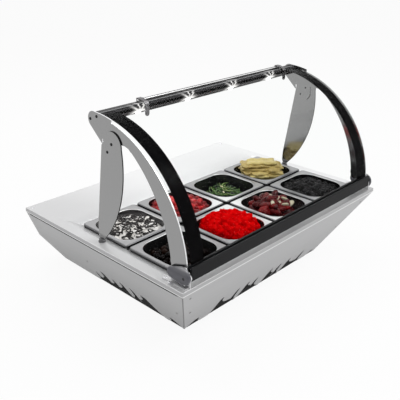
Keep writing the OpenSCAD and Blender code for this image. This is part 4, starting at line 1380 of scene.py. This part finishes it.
@dataclass
class Food:
    """The eight heaps, each made as the pieces that it is."""

    slice_section: tuple[tuple[float, float], ...] = (
        *((share, -0.0024) for share in (0.05, 0.6, 0.95)),
        (1.0, -0.0012),
        (1.0, 0.0012),
        (0.95, 0.0024),
        (0.75, 0.0026),
        *((share, 0.0028) for share in (0.5, 0.25, 0.05)),
    )

    def heap(self, node: str, slot: str, dome: float, seed: int) -> Heap:
        """A heap from its solid's box.

        Args:
            node: the solid that it stands for.
            slot: the name of its material slot; not used.
            dome: radius of the dome.
            seed: seed of its source of chance.

        Returns:
            The heap.
        """
        low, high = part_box(node)
        c = (low + high) / 2
        return Heap(node, slot, (c.x, c.y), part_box("pan_front_1")[1].z, high.z, dome, seed)

    def sliced_olives(self) -> None:
        """Dark rings and bits over a smooth pale spread."""
        h = self.heap("topping_rear_1", "food_white", 0.190, 11)
        pale = Morsel(
            "pale spread",
            ((0.0, (0.62, 0.57, 0.50)), (0.35, (0.86, 0.83, 0.79)), (1.0, (0.96, 0.95, 0.94))),
            rough=0.4, spots=90.0, lumps=0.25,
        )
        dark = Morsel(
            "olive skin",
            ((0.0, (0.004, 0.003, 0.003)), (0.8, (0.012, 0.008, 0.007)), (1.0, (0.05, 0.03, 0.022))),
            spots=300.0, coat=0.1,
        )
        h.put("bed", h.bed(0.003, 0.0022), pale, True)
        fold, ring = bent_strip(0.030, 0.010, 0.005, 1.2, 7), ring_slice(0.0058, 0.0017, 0.0018)
        bit = rounded_block(0.0026, 0.0020, 0.0016, 0.8, 6, 8)
        h.put("folds", h.scattered(fold, 60, 0.012, (0.002, 0.005), 0.3), pale)
        h.put("rings", h.scattered(ring, 74, 0.014, (-0.0006, 0.0010), 0.5), dark)
        h.put("bits", h.scattered(bit, 50, 0.010, (0.0, 0.001), 0.8, 0.3), dark)

    def diced_meat(self) -> None:
        """Rose and dark red dice."""
        h = self.heap("topping_rear_2", "food_rose", 0.190, 12)
        meat = Morsel(
            "diced meat",
            (
                (0.0, (0.03, 0.002, 0.003)),
                (0.3, (0.20, 0.008, 0.010)),
                (0.6, (0.66, 0.035, 0.040)),
                (1.0, (0.95, 0.25, 0.24)),
            ),
            rough=0.32, spots=120.0, spread=0.4, coat=0.04, shine=0.15,
        )
        # The bed takes the ramp's darkest tone as painted shade between the dice.
        h.put("bed", h.bed(0.008, 0.002, 0.0), meat, True)
        die = rounded_block(0.0078, 0.0060, 0.0048, 0.5)
        h.put("dice", h.scattered(die, 190, 0.008, (-0.001, 0.006), 1.3, 0.3, shade=0.8), meat)

    def pepper_strips(self) -> None:
        """Curled green strips and a few pale seeds in the nearer part of the bowl, over a near-black bed of
        painted shade.
        """
        h = self.heap("topping_rear_3", "food_green", 0.150, 13)
        green = Morsel(
            "pepper strips",
            (
                (0.0, (0.003, 0.004, 0.003)),
                (0.3, (0.014, 0.040, 0.008)),
                (0.7, (0.070, 0.170, 0.022)),
                (1.0, (0.330, 0.420, 0.120)),
            ),
            rough=0.2, spots=60.0, spread=0.2, coat=0.3, lumps=0.1,
        )
        pale = Morsel("seeds", ((0.0, (0.6, 0.55, 0.25)), (1.0, (0.9, 0.88, 0.6))))
        part, along = (0.003, 0.0, 0.95), (-1.85, 0.35)
        # Painted shade: the bed takes the ramp's darkest, near-black tone.
        h.put("bed", h.bed(0.020, 0.002, 0.0), green, True)
        strip, hook = bent_strip(0.054, 0.0036, 0.0026, 1.6), bent_strip(0.066, 0.0030, 0.0026, 4.4, 18)
        seed = rounded_block(0.0065, 0.0030, 0.0022, 0.9)
        h.put("strips", h.scattered(strip, 54, 0.026, (0.002, 0.014), 0.25, 0.2, part, along), green)
        h.put("loops", h.scattered(hook, 20, 0.034, (-0.001, 0.008), 0.3, 0.3, part, along), green)
        h.put("seeds", h.scattered(seed, 2, 0.045, (-0.002, 0.0), 0.4, 0.2, part, along), pale)

    def yellow_slices(self) -> None:
        """A stack of soft slices with wavy edges, and two small piles in front of it."""
        h = self.heap("topping_rear_4", "food_yellow", 0.090, 14)
        tan = Morsel(
            "yellow slices",
            (
                (0.0, (0.18, 0.11, 0.03)),
                (0.35, (0.50, 0.37, 0.12)),
                (0.7, (0.74, 0.61, 0.24)),
                (1.0, (0.90, 0.80, 0.42)),
            ),
            rough=0.42, spots=70.0, spread=0.5, coat=0.1,
        )
        dark = Morsel("bowl shade", ((0.0, (0.006, 0.005, 0.004)), (1.0, (0.02, 0.016, 0.01))), 0.5)
        h.put("bed", h.bed(0.040, 0.001, 0.2), dark, True)
        plan = [
            (0.000, 0.000, -0.0380, 0.058, 0.042, -0.70),
            (-0.002, 0.002, -0.0300, 0.058, 0.041, -0.88),
            (0.002, 0.003, -0.0220, 0.057, 0.038, -0.66),
            (-0.021, 0.020, -0.0150, 0.036, 0.034, -0.50),
            (0.022, -0.012, -0.0160, 0.038, 0.031, -0.95),
            (-0.018, 0.018, -0.0080, 0.038, 0.032, -0.92),
            (0.024, -0.014, -0.0100, 0.036, 0.029, -0.60),
            (-0.020, 0.021, -0.0010, 0.034, 0.031, -0.62),
            (0.021, -0.011, -0.0040, 0.034, 0.028, -0.84),
            (0.002, 0.006, 0.0040, 0.044, 0.026, -0.76),
            (-0.036, -0.020, -0.0200, 0.028, 0.018, -0.90),
            (-0.034, -0.022, -0.0140, 0.024, 0.016, -0.50),
            (0.006, -0.044, -0.0210, 0.029, 0.018, -0.70),
            (0.008, -0.042, -0.0150, 0.026, 0.016, -1.00),
            (0.006, -0.043, -0.0090, 0.020, 0.013, -0.50),
        ]
        sheets = [self.wavy_slice(h, *row) for row in plan]
        h.put("slices", Surface.joined(sheets), tan)

    def wavy_slice(
        self, h: Heap, x: float, y: float, z: float, half_w: float, half_d: float, turn: float
    ) -> Surface:
        """One slice: a rounded rectangle whose outline and height ripple with crossing sines, 6 mm thick.

        Args:
            h: the heap.
            x: shift of the slice's middle along X.
            y: shift along Y.
            z: place in the stack, below the heap's top.
            half_w: half the width.
            half_d: half the depth.
            turn: angle about Z in radians.

        Returns:
            The slice in its place.
        """
        phase = h.rng.uniform(0, WAVE_TURN, 5)
        outline = round_rect(half_w, half_d, 0.009, 6, 8)
        a = np.arctan2(outline[:, 1], outline[:, 0])
        ripple = 0.05 * np.sin(3 * a + phase[0]) + 0.03 * np.sin(8 * a + phase[1])
        ripple = ripple + 0.016 * np.sin(17 * a + phase[4])
        c, s = math.cos(turn), math.sin(turn)
        outline = outline * (1 + ripple)[:, None] @ np.array([[c, s], [-s, c]])
        rings = []
        for t, dz in self.slice_section:
            p = outline * t
            wave = 0.0022 * np.sin(p[:, 0] * 130 + phase[2]) * np.cos(p[:, 1] * 150 + phase[3])
            height = h.top + 1.2 * (z + dz) + (wave - 0.0026 * t**3)
            rings.append(level(p, height, (h.centre[0] + x, h.centre[1] + y)))
        made = loft(rings)
        made.tone = np.full(len(made.points), 0.5 + h.rng.uniform(-0.42, 0.40))
        return made

    def dark_olives(self) -> None:
        """Whole brown-black olives."""
        h = self.heap("topping_front_1", "food_brown", 0.190, 15)
        skin = Morsel(
            "whole olives",
            ((0.0, (0.0015, 0.001, 0.0008)), (0.6, (0.004, 0.0016, 0.0011)), (1.0, (0.024, 0.009, 0.005))),
            rough=0.2, spots=90.0, spread=0.4, coat=0.0, lumps=0.08, shine=0.05,
        )
        # The bed takes the darkest tone as painted shade between the olives.
        h.put("bed", h.bed(0.009, 0.001, 0.0), skin, True)
        olive = rounded_block(0.0098, 0.0082, 0.0080, 1.0, 9, 14)
        h.put("olives", h.scattered(olive, 95, 0.012, (0.002, 0.010), 1.5, 0.12), skin, crease=80)

    def red_cubes(self) -> None:
        """Bright red cubes, heaped over the rim."""
        h = self.heap("topping_front_2", "food_red", 0.150, 16)
        red = Morsel(
            "red cubes",
            ((0.0, (0.34, 0.0, 0.001)), (0.35, (0.70, 0.001, 0.002)), (1.0, (0.95, 0.006, 0.006))),
            rough=0.45, spots=140.0, spread=0.3, coat=0.0, lumps=0.12, shine=0.0,
        )
        # The bed takes the darkest red as painted shade between the cubes.
        h.put("bed", h.bed(0.010, 0.002, 0.0), red, True)
        under, cube = rounded_block(0.0060, 0.0060, 0.0060, 0.3), rounded_block(0.0058, 0.0058, 0.0058, 0.26)
        h.put("under", h.scattered(under, 220, 0.011, (0.003, 0.010), 1.5, 0.15, shade=0.9), red)
        h.put("cubes", h.scattered(cube, 250, 0.013, (-0.0045, 0.005), 1.5, 0.2, shade=0.8), red)

    def dried_fruit(self) -> None:
        """Dark red wrinkled fruit with pale slices, heaped in the left-hand part of the bowl over a
        near-black bed of painted shade.
        """
        h = self.heap("topping_front_3", "food_maroon", 0.110, 17)
        fruit = Morsel(
            "dried fruit",
            (
                (0.0, (0.006, 0.001, 0.001)),
                (0.35, (0.060, 0.002, 0.003)),
                (0.8, (0.220, 0.008, 0.009)),
                (1.0, (0.460, 0.050, 0.038)),
            ),
            rough=0.34, spots=70.0, spread=0.45, coat=0.05, lumps=0.5, shine=0.12,
        )
        tones = ((0.0, (0.42, 0.36, 0.22)), (1.0, (0.80, 0.76, 0.60)))
        cream = Morsel("pale slices", tones, 0.4, 120.0, 0.5, lumps=0.2)
        left, right = (-0.007, 0.004, 0.90), (0.006, -0.014, 0.75)
        lump = rounded_block(0.0180, 0.0088, 0.0080, 0.9, 10, 16)
        disc = rounded_block(0.0100, 0.0062, 0.0034, 0.75, 8, 14)
        # Painted shade: the bed takes the ramp's darkest, near-black tone.
        h.put("bed", h.bed(0.018, 0.003, 0.0), fruit, True)
        h.put("fruit", h.scattered(lump, 36, 0.024, (-0.002, 0.012), 0.9, 0.15, left), fruit, crease=80)
        h.put("slices", h.scattered(disc, 9, 0.030, (-0.004, 0.001), 1.1, 0.2, right), cream, crease=80)

    def black_crumbs(self) -> None:
        """Coarse black crumbs."""
        h = self.heap("topping_front_4", "food_black", 0.190, 18)
        crumb = Morsel(
            "black crumbs",
            ((0.0, grey(0.003, 0.0003)), (0.6, (0.014, 0.0135, 0.014)), (1.0, (0.048, 0.046, 0.048))),
            rough=0.6, spots=260.0, spread=0.5, coat=0.0, lumps=0.6, shine=0.12,
        )
        h.put("bed", h.bed(0.004, 0.0026, 0.2), crumb, True)
        grain = rounded_block(0.0080, 0.0062, 0.0048, 0.6, 6, 10)
        h.put("crumbs", h.scattered(grain, 230, 0.008, (-0.001, 0.005), 1.5, 0.4), crumb)

    def build(self) -> None:
        """All eight pans."""
        rear = (self.sliced_olives, self.diced_meat, self.pepper_strips, self.yellow_slices)
        front = (self.dark_olives, self.red_cubes, self.dried_fruit, self.black_crumbs)
        for make in rear + front:
            make()


@dataclass
class Canopy:
    """The bent glass with its border, and the plates, bar and rail that hold it.

    Angles run from the front foot of the glass, where they are zero, up and over to the light bar.
    """

    bow_v: float = 0.304
    bow_z: float = 0.020
    inner: float = 0.2903
    thick: float = 0.005
    half: float = 0.3536
    border: float = 0.038
    clear: float = 0.008
    lip_u: float = -0.020
    clip_w: float = 0.012
    clip_room: float = 0.001
    foot_gap: float = 0.0012
    notch_deep: float = 0.009
    band_foot: float = 0.0245
    band_top: float = 0.005
    band_depths: tuple[float, float] = (0.0004, 0.00015)
    glass_rows: int = 97
    glass: Finish = ClearSheet("clear glass", (0.985, 0.995, 0.99))
    ink: Finish = Coated("printed border", (0.003, 0.0026, 0.003), 0.08, 0.0, 300.0, shine=0.015)
    # The plates' pale edge tone is a painted highlight, and the blades' near-black edge tone is painted
    # shade.
    plate: Finish = CutPlate("plate steel", grey(0.30), grey(0.85, 0.01))
    blade: Finish = CutPlate("blade steel", grey(0.30), grey(0.012, 0.001))
    rail: Finish = Coated("rail", grey(0.010, 0.001), 0.55, 0.8, 380.0, shine=0.14)
    black: Finish = Coated("black screws", grey(0.005, 0.001), 0.35, 0.1, shine=0.2)

    def middle(self) -> tuple[float, float]:
        """The bow's centre in (y, z)."""
        low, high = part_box("deck_top")
        return low.y + self.bow_v, high.z + self.bow_z

    def arc(self, radius: float, first: float, last: float, steps: int) -> Array:
        """Points of the bow, with angles in radians above the front.

        Args:
            radius: distance from the bow's centre.
            first: angle of the first point.
            last: angle of the last one.
            steps: number of points.

        Returns:
            The (y, z) points.
        """
        y0, z0 = self.middle()
        a = np.linspace(first, last, steps)
        return np.stack([y0 - radius * np.cos(a), z0 + radius * np.sin(a)], -1)

    def band(self, x1: float, x2: float, first: float, last: float, steps: int = 90) -> Surface:
        """A thin closed band under the glass: its rectangular section carried along the bow.

        Args:
            x1: one end along X.
            x2: the other end.
            first: the angle where it starts.
            last: the angle where it ends.
            steps: number of sections.

        Returns:
            The band.
        """
        b, a = [self.arc(self.inner - depth, first, last, steps) for depth in self.band_depths]
        ends = ((x1, a), (x2, a), (x2, b), (x1, b))
        corners = [np.column_stack([np.full(steps, x), line]) for x, line in ends]
        return loft(list(np.stack(corners, 1)))

    def build_glass(self) -> None:
        """The bent glass, with its top edge notched round the two clips."""
        start = math.asin(self.foot_gap / self.inner)
        top = math.acos(-self.lip_u / (self.inner + self.thick))
        notch = math.acos((-self.lip_u + self.notch_deep) / (self.inner + self.thick))
        low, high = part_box("rod_clips")
        left, right = low.x - self.clip_room, high.x + self.clip_room
        wide = self.clip_w + 2 * self.clip_room
        cuts = [-self.half, left, left + wide, right - wide, right, self.half]
        skin = self.notched(cuts, notch, start, top)
        put("glass_sheet", skin, self.glass, Body.CANOPY, ["curved_glass"], 0.0, 30.0)

    def notched(self, cuts: list[float], notch: float, start: float, top: float) -> Surface:
        """The glass as one closed slab whose top edge is lower at the clips.

        The grid has one row per angle and one column of points per cut. Every second column of cells stops at
        the notch, and narrow edges close the slab all round.

        Args:
            cuts: where the columns of points stand along X.
            notch: angle at which the notches end.
            start: angle of the foot.
            top: angle of the top edge.

        Returns:
            The slab.
        """
        rows, cols = self.glass_rows, len(cuts)
        skins = [self.arc(radius, start, top, rows) for radius in (self.inner + self.thick, self.inner)]
        grids = [np.column_stack([np.tile(cuts, rows), np.repeat(skin, cols, axis=0)]) for skin in skins]
        half = rows * cols
        short = int(np.searchsorted(np.linspace(start, top, rows), notch))
        p = np.arange(cols - 1)
        stop = np.where(p % 2 == 1, short, rows - 1)
        last = stop * cols + p
        foot = np.stack([p, half + p, half + p + 1, p + 1], -1)
        crown = np.stack([last + 1, half + last + 1, half + last, last], -1)
        r, c = np.meshgrid(np.arange(rows - 1), np.arange(cols), indexing="ij")
        left, right = np.append(0, stop)[c], np.append(stop, 0)[c]
        p = (r * cols + c)[r < right]
        outside = np.stack([p, p + 1, p + cols + 1, p + cols], -1)
        inside = half + np.stack([p, p + cols, p + cols + 1, p + 1], -1)
        at_edge = (r >= np.minimum(left, right)) & (r < np.maximum(left, right))
        p = (r * cols + c)[at_edge]
        edge = np.stack([p, p + cols, half + p + cols, half + p], -1)
        edge = np.where((right > left)[at_edge][:, None], edge, edge[:, ::-1])
        return Surface(np.concatenate(grids), [outside, inside, foot, crown, edge])

    def build_border(self) -> None:
        """The printed border on the inside of the glass, one band at each end."""
        first = math.asin(self.band_foot / self.inner)
        last = math.acos((-self.lip_u + self.band_top) / self.inner)
        bands = []
        for s in (-1, 1):
            x1, x2 = sorted((s * (self.half - self.clear), s * (self.half - self.clear - self.border)))
            bands.append(self.band(x1, x2, first, last))
        both = Surface.joined(bands)
        put("border", both, self.ink, Body.CANOPY, ["border_bands"], 0.0, 30.0)

    def build(self) -> None:
        """Glass, border and the finishes of what carries them."""
        self.build_glass()
        self.build_border()
        dress(self.plate, "end_plate_left", "end_plate_right")
        dress(self.blade, "support_blade_left", "support_blade_right")
        dress(self.rail, "bottom_rail")
        dress(self.black, "canopy_screws")
        base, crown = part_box("top_rod")
        # The rod's bands are painted reflection: dark along its upper and lower edges and bright between, as
        # plating mirrors a dark room.
        painted_reflection_bands = (
            (0.00, grey(0.010)),
            (0.34, grey(0.010)),
            (0.44, grey(0.900)),
            (0.80, grey(0.900)),
            (0.88, grey(0.030)),
            (1.00, grey(0.030)),
        )
        dress(LevelTones("plated rod", painted_reflection_bands, (base.z, crown.z), 0.9), "top_rod")
        dress(Coated("clip steel", (0.16, 0.155, 0.16), 0.3, 0.05, 400.0, 0.0, 0.9), "rod_clips")


@dataclass
class LightBar:
    """The extrusion along the top and its four lamps."""

    lens_r: float = 0.007
    aim: Spot = (0.0, -13.0, -16.0)
    # Radius of the painted glow round each lamp, and its offset from the lamp.
    spill: float = 0.016
    spill_at: tuple[float, float] = (-0.004, 0.003)
    lit: Finish = Lit("lamp lens", (1.0, 1.0, 0.98), 3.0)

    def build(self) -> None:
        """Domed lenses on the solids' places, and the bar's finish with the painted glow of their light."""
        low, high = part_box("lamps")
        mid = (low + high) / 2
        xs = np.linspace(low.x + self.lens_r, high.x - self.lens_r, 4)
        profile = [(0.0070, -0.0012), (0.0070, 0.0004), (0.0066, 0.0008), (0.0056, 0.0009)]
        dome = [(0.0056 * math.cos(a), 0.0009 + 0.0026 * math.sin(a)) for a in np.linspace(0.2, 1.45, 6)]
        parts = [lathe(np.array(profile + dome), (x, mid.y, mid.z), self.aim, 32) for x in xs]
        put("lamp_lenses", Surface.joined(parts), self.lit, Body.CANOPY, ["lamps"], 0.0, 40.0)
        spill = tuple((float(x), mid.y + self.spill_at[0], mid.z + self.spill_at[1]) for x in xs)
        base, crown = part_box("light_bar")
        # The bar's bands by height are painted highlight and shade along its length.
        bands = (
            (0.00, grey(0.002)),
            (0.12, grey(0.003)),
            (0.24, (0.030, 0.026, 0.028)),
            (0.42, (0.065, 0.058, 0.062)),
            (0.52, (0.030, 0.026, 0.028)),
            (0.58, grey(0.004)),
            (0.74, grey(0.004)),
            (0.82, (0.050, 0.047, 0.050)),
            (0.90, (0.110, 0.105, 0.110)),
            (0.95, grey(0.015)),
            (1.00, grey(0.200, 0.005)),
        )
        dress(LampBar("light bar", bands, (base.z, crown.z), spill, self.spill), "light_bar")


@dataclass
class Hinges:
    """Domed hinge covers over the brackets at the front corners."""

    a: tuple[float, float] = (0.0215, 0.0235)
    b: tuple[float, float] = (0.053, 0.021)
    radii: tuple[float, float] = (0.021, 0.013)
    start: float = 0.3607
    deep: float = 0.007
    round_off: float = 0.0032
    crown: float = 0.0003
    hole_deep: float = 0.0006
    hole_shades: tuple[tuple[float, float, float], ...] = ((0.015, 0.021, 0.0034), (0.012, 0.0075, 0.0020))
    # The cover's tones by height are painted light: darker across the middle of the dome and a painted
    # highlight along its top.
    tones: Stops = (
        (0.00, grey(0.150, 0.015)),
        (0.35, grey(0.100, 0.018)),
        (0.62, grey(0.070, 0.015)),
        (0.84, grey(0.125, 0.015)),
        (0.95, grey(0.300, 0.01)),
        (1.00, grey(0.300, 0.01)),
    )
    steel: Finish = BrushedSheet("bracket steel", grey(0.66, 0.01), (120.0, 120.0, 12.0), 0.7, 0.3)
    # Near-black discs set just inside the covers paint the shade in the pin holes.
    hole: Finish = Coated("pin hole", grey(0.004, 0.001), 0.5)
    bright: Finish = Coated("bright plating", grey(0.62, 0.02), 0.16, 0.05, 400.0, 0.0, 0.95)

    def outline(self, inset: float, count: int = 28) -> Array:
        """Points of the cover's edge, moved in: an arc round each end, joined by their common tangents.

        Args:
            inset: how far in.
            count: points in the small arc, half of those in the large one.

        Returns:
            The (v, z) points, from the deck's front edge and top.
        """
        a, b = np.array(self.a), np.array(self.b)
        ra, rb = self.radii[0] - inset, self.radii[1] - inset
        span = b - a
        lean = math.atan2(span[1], span[0])
        turn = math.acos((self.radii[0] - self.radii[1]) / float(np.linalg.norm(span)))
        big = np.linspace(lean + turn, lean + 2 * math.pi - turn, 2 * count)
        small = np.linspace(lean - turn, lean + turn, count)
        one = a + ra * np.stack([np.cos(big), np.sin(big)], -1)
        two = b + rb * np.stack([np.cos(small), np.sin(small)], -1)
        return np.concatenate([one, two])

    def ring(self, side: Side, depth: float, inset: float, origin: tuple[float, float]) -> Array:
        """The outline as points in space.

        Args:
            side: the end of the display.
            depth: distance outwards from the cover's back.
            inset: how far in from the cover's edge.
            origin: the deck's front edge and top.

        Returns:
            The points.
        """
        line = self.outline(inset)
        x = side.value * (self.start + depth)
        return np.column_stack([np.full(len(line), x), line[:, 0] + origin[0], line[:, 1] + origin[1]])

    def build_cover(self, side: Side, node: str) -> None:
        """Side walls, a rounded shoulder and a slightly crowned face.

        Args:
            side: the end of the display.
            node: the solid that the cover stands for.
        """
        low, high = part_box("deck_top")
        origin = (low.y, high.z)
        r = self.round_off
        steps = [(0.0, 0.0), (self.deep - r, 0.0)]
        for t in np.radians([20, 40, 60, 80]):
            steps.append((self.deep - r + r * math.sin(t), r * (1 - math.cos(t))))
        steps += [(self.deep, r * 1.4), (self.deep + self.crown, r * 2.2)]
        rings = [self.ring(side, d, i, origin) for d, i in steps]
        skin = loft(rings, flip=side is Side.LEFT)
        base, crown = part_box(node)
        # The cover's colour is painted light, in level bands.
        cover = LevelTones("hinge cover", self.tones, (base.z, crown.z), 0.1)
        put(f"{node}_dome", skin, cover, Body.HOUSING, [node], 0.0, 50.0)
        # Painted shade in the pin holes: near-black discs just inside the cover's face.
        x = side.value * (self.start + self.deep - self.hole_deep)
        dots = []
        for v, z, rad in self.hole_shades:
            plug = np.array([(rad, 0), (rad, 0.0011), (rad * 0.8, 0.0012)])
            dots.append(lathe(plug, (x, v + origin[0], z + origin[1]), (side.value, 0, 0), 24))
        put(f"{node}_holes", Surface.joined(dots), self.hole, Body.HOUSING)

    def build(self) -> None:
        """Both covers, and the finishes of the metal parts."""
        self.build_cover(Side.LEFT, "hinge_cover_left")
        self.build_cover(Side.RIGHT, "hinge_cover_right")
        dress(self.steel, "hinge_bracket_left", "hinge_bracket_right")
        dress(self.bright, "hinge_pins", "hinge_screws")
        dress(Coated("skirt screws", grey(0.34), 0.4, 0.05, 400.0, 0.0, 0.4), "skirt_screws")


class Inside:
    """Finishes of what sits inside the housing and on its rear."""

    def build(self) -> None:
        """One finish for each kind of piece."""
        dress(BrushedSheet("well steel", grey(0.32, 0.01), (120.0, 120.0, 120.0), 0.8, 0.35), "cold_well")
        dress(Coated("foam", (0.8, 0.74, 0.52), 0.85, 0.9, 300.0), "insulation")
        copper = Coated("copper", (0.62, 0.3, 0.17), 0.32, 0.1, 200.0, 0.0, 0.95, 0.15)
        dress(copper, "evaporator_coil", "refrigerant_lines")
        dress(Coated("pan bars", grey(0.006, 0.001), 0.4, 0.2, shine=0.2), "centre_bar", "cross_bars")
        dress(Coated("compressor paint", grey(0.012, 0.001), 0.25, 0.15, 260.0, 0.4), "compressor")
        dress(Coated("condenser fins", (0.62, 0.63, 0.65), 0.35, 0.1, 400.0, 0.0, 0.9), "condenser_coil")
        dress(Coated("shroud plastic", grey(0.015, 0.001), 0.5, 0.3), "fan_shroud")
        dress(Coated("motor shell", grey(0.2, 0.01), 0.35, 0.1, 300.0, 0.0, 0.7), "fan_motor")
        dress(Coated("fan plastic", grey(0.12, 0.005), 0.4, 0.15), "fan_rotor")
        controls = Coated("control plastic", grey(0.014, 0.001), 0.38, 0.35, 800.0)
        dress(controls, "switch_housing", "thermostat_knob", "power_inlet")
        dress(Coated("rocker plastic", (0.35, 0.012, 0.01), 0.22, 0.1, 500.0, 0.3), "rocker_switch")
        dress(Coated("zinc box", grey(0.45, 0.02), 0.4, 0.3, 60.0, 0.0, 0.8), "thermostat")


@dataclass
class Studio:
    """Floor, background, soft lamps and the camera."""

    lens: float = 53.42
    camera_at: Spot = (-1.0920, -1.0693, 0.8759)
    azimuth: float = -45.927
    elevation: float = 24.118
    floor_half: float = 14.0
    sky: float = 0.5
    whiteness: float = 0.93

    def build_camera(self) -> None:
        """The camera at the photograph's place and angle."""
        data = bpy.data.cameras.new("camera")
        data.lens, data.sensor_width, data.clip_end = self.lens, 36.0, 100.0
        camera = bpy.data.objects.new("camera", data)
        bpy.context.scene.collection.objects.link(camera)
        a, e = math.radians(self.azimuth), math.radians(self.elevation)
        back = Vector((math.sin(a) * math.cos(e), -math.cos(a) * math.cos(e), math.sin(e)))
        camera.location = self.camera_at
        camera.rotation_euler = (-back).to_track_quat("-Z", "Y").to_euler()
        bpy.context.scene.camera = camera

    def seen(self, s: Shader) -> Sock:
        """1 for rays from the eye, a mirror or through glass."""
        return s.rays("Camera", "Glossy", "Transmission")

    def build_world(self) -> None:
        """An even sky that looks white and lights softly."""
        world = bpy.data.worlds.new("studio")
        bpy.context.scene.world = world
        s = Shader(world, "ShaderNodeOutputWorld")
        strength = self.seen(s) * (1.0 - self.sky) + self.sky
        s.end(s.node("ShaderNodeBackground", None, {"Color": WHITE, "Strength": strength}))

    def build_floor(self) -> None:
        """A pale floor that keeps a faint shadow under a white look."""
        h = self.floor_half
        mesh = bpy.data.meshes.new("floor")
        mesh.from_pydata([(-h, -h, 0), (h, -h, 0), (h, h, 0), (-h, h, 0)], [], [(0, 1, 2, 3)])
        floor = bpy.data.objects.new("floor", mesh)
        bpy.context.scene.collection.objects.link(floor)
        s = Shader.of_material("floor")
        matt = s.node("ShaderNodeBsdfDiffuse", None, {"Color": grey(0.86)})
        glow = s.node("ShaderNodeEmission", None, {"Color": WHITE, "Strength": 1.0})
        mesh.materials.append(s.blend(self.seen(s) * self.whiteness, matt, glow))

    def lamp(self, name: str, at: Spot, aim: Spot, size: float, watts: float) -> None:
        """One soft square lamp.

        Args:
            name: the lamp's name.
            at: its place.
            aim: the point that it faces.
            size: length of its sides.
            watts: its power.
        """
        data = bpy.data.lights.new(name, "AREA")
        data.energy, data.size = watts, size
        lamp = bpy.data.objects.new(name, data)
        bpy.context.scene.collection.objects.link(lamp)
        lamp.location = at
        lamp.rotation_euler = (Vector(aim) - Vector(at)).to_track_quat("-Z", "Y").to_euler()

    def build(self) -> None:
        """Everything that isn't the object."""
        bpy.context.scene.view_settings.view_transform = "Standard"
        self.build_camera()
        self.build_world()
        self.build_floor()
        self.lamp("key", (0.9, -1.6, 2.6), (0.0, 0.0, 0.2), 1.6, 34.0)
        self.lamp("top", (-0.3, 1.0, 2.6), (0.0, 0.1, 0.2), 1.8, 26.0)


def main() -> None:
    """Builds the scene in order."""
    logging.basicConfig(level=logging.INFO, format="%(name)s: %(message)s")
    housing = (Studio(), Deck(), Skirts(), Feet(), Pans(), Food())
    for part in housing + (Canopy(), LightBar(), Hinges(), Inside()):
        log.info("building %s", type(part).__name__)
        part.build()


if __name__ == "__main__":
    main()
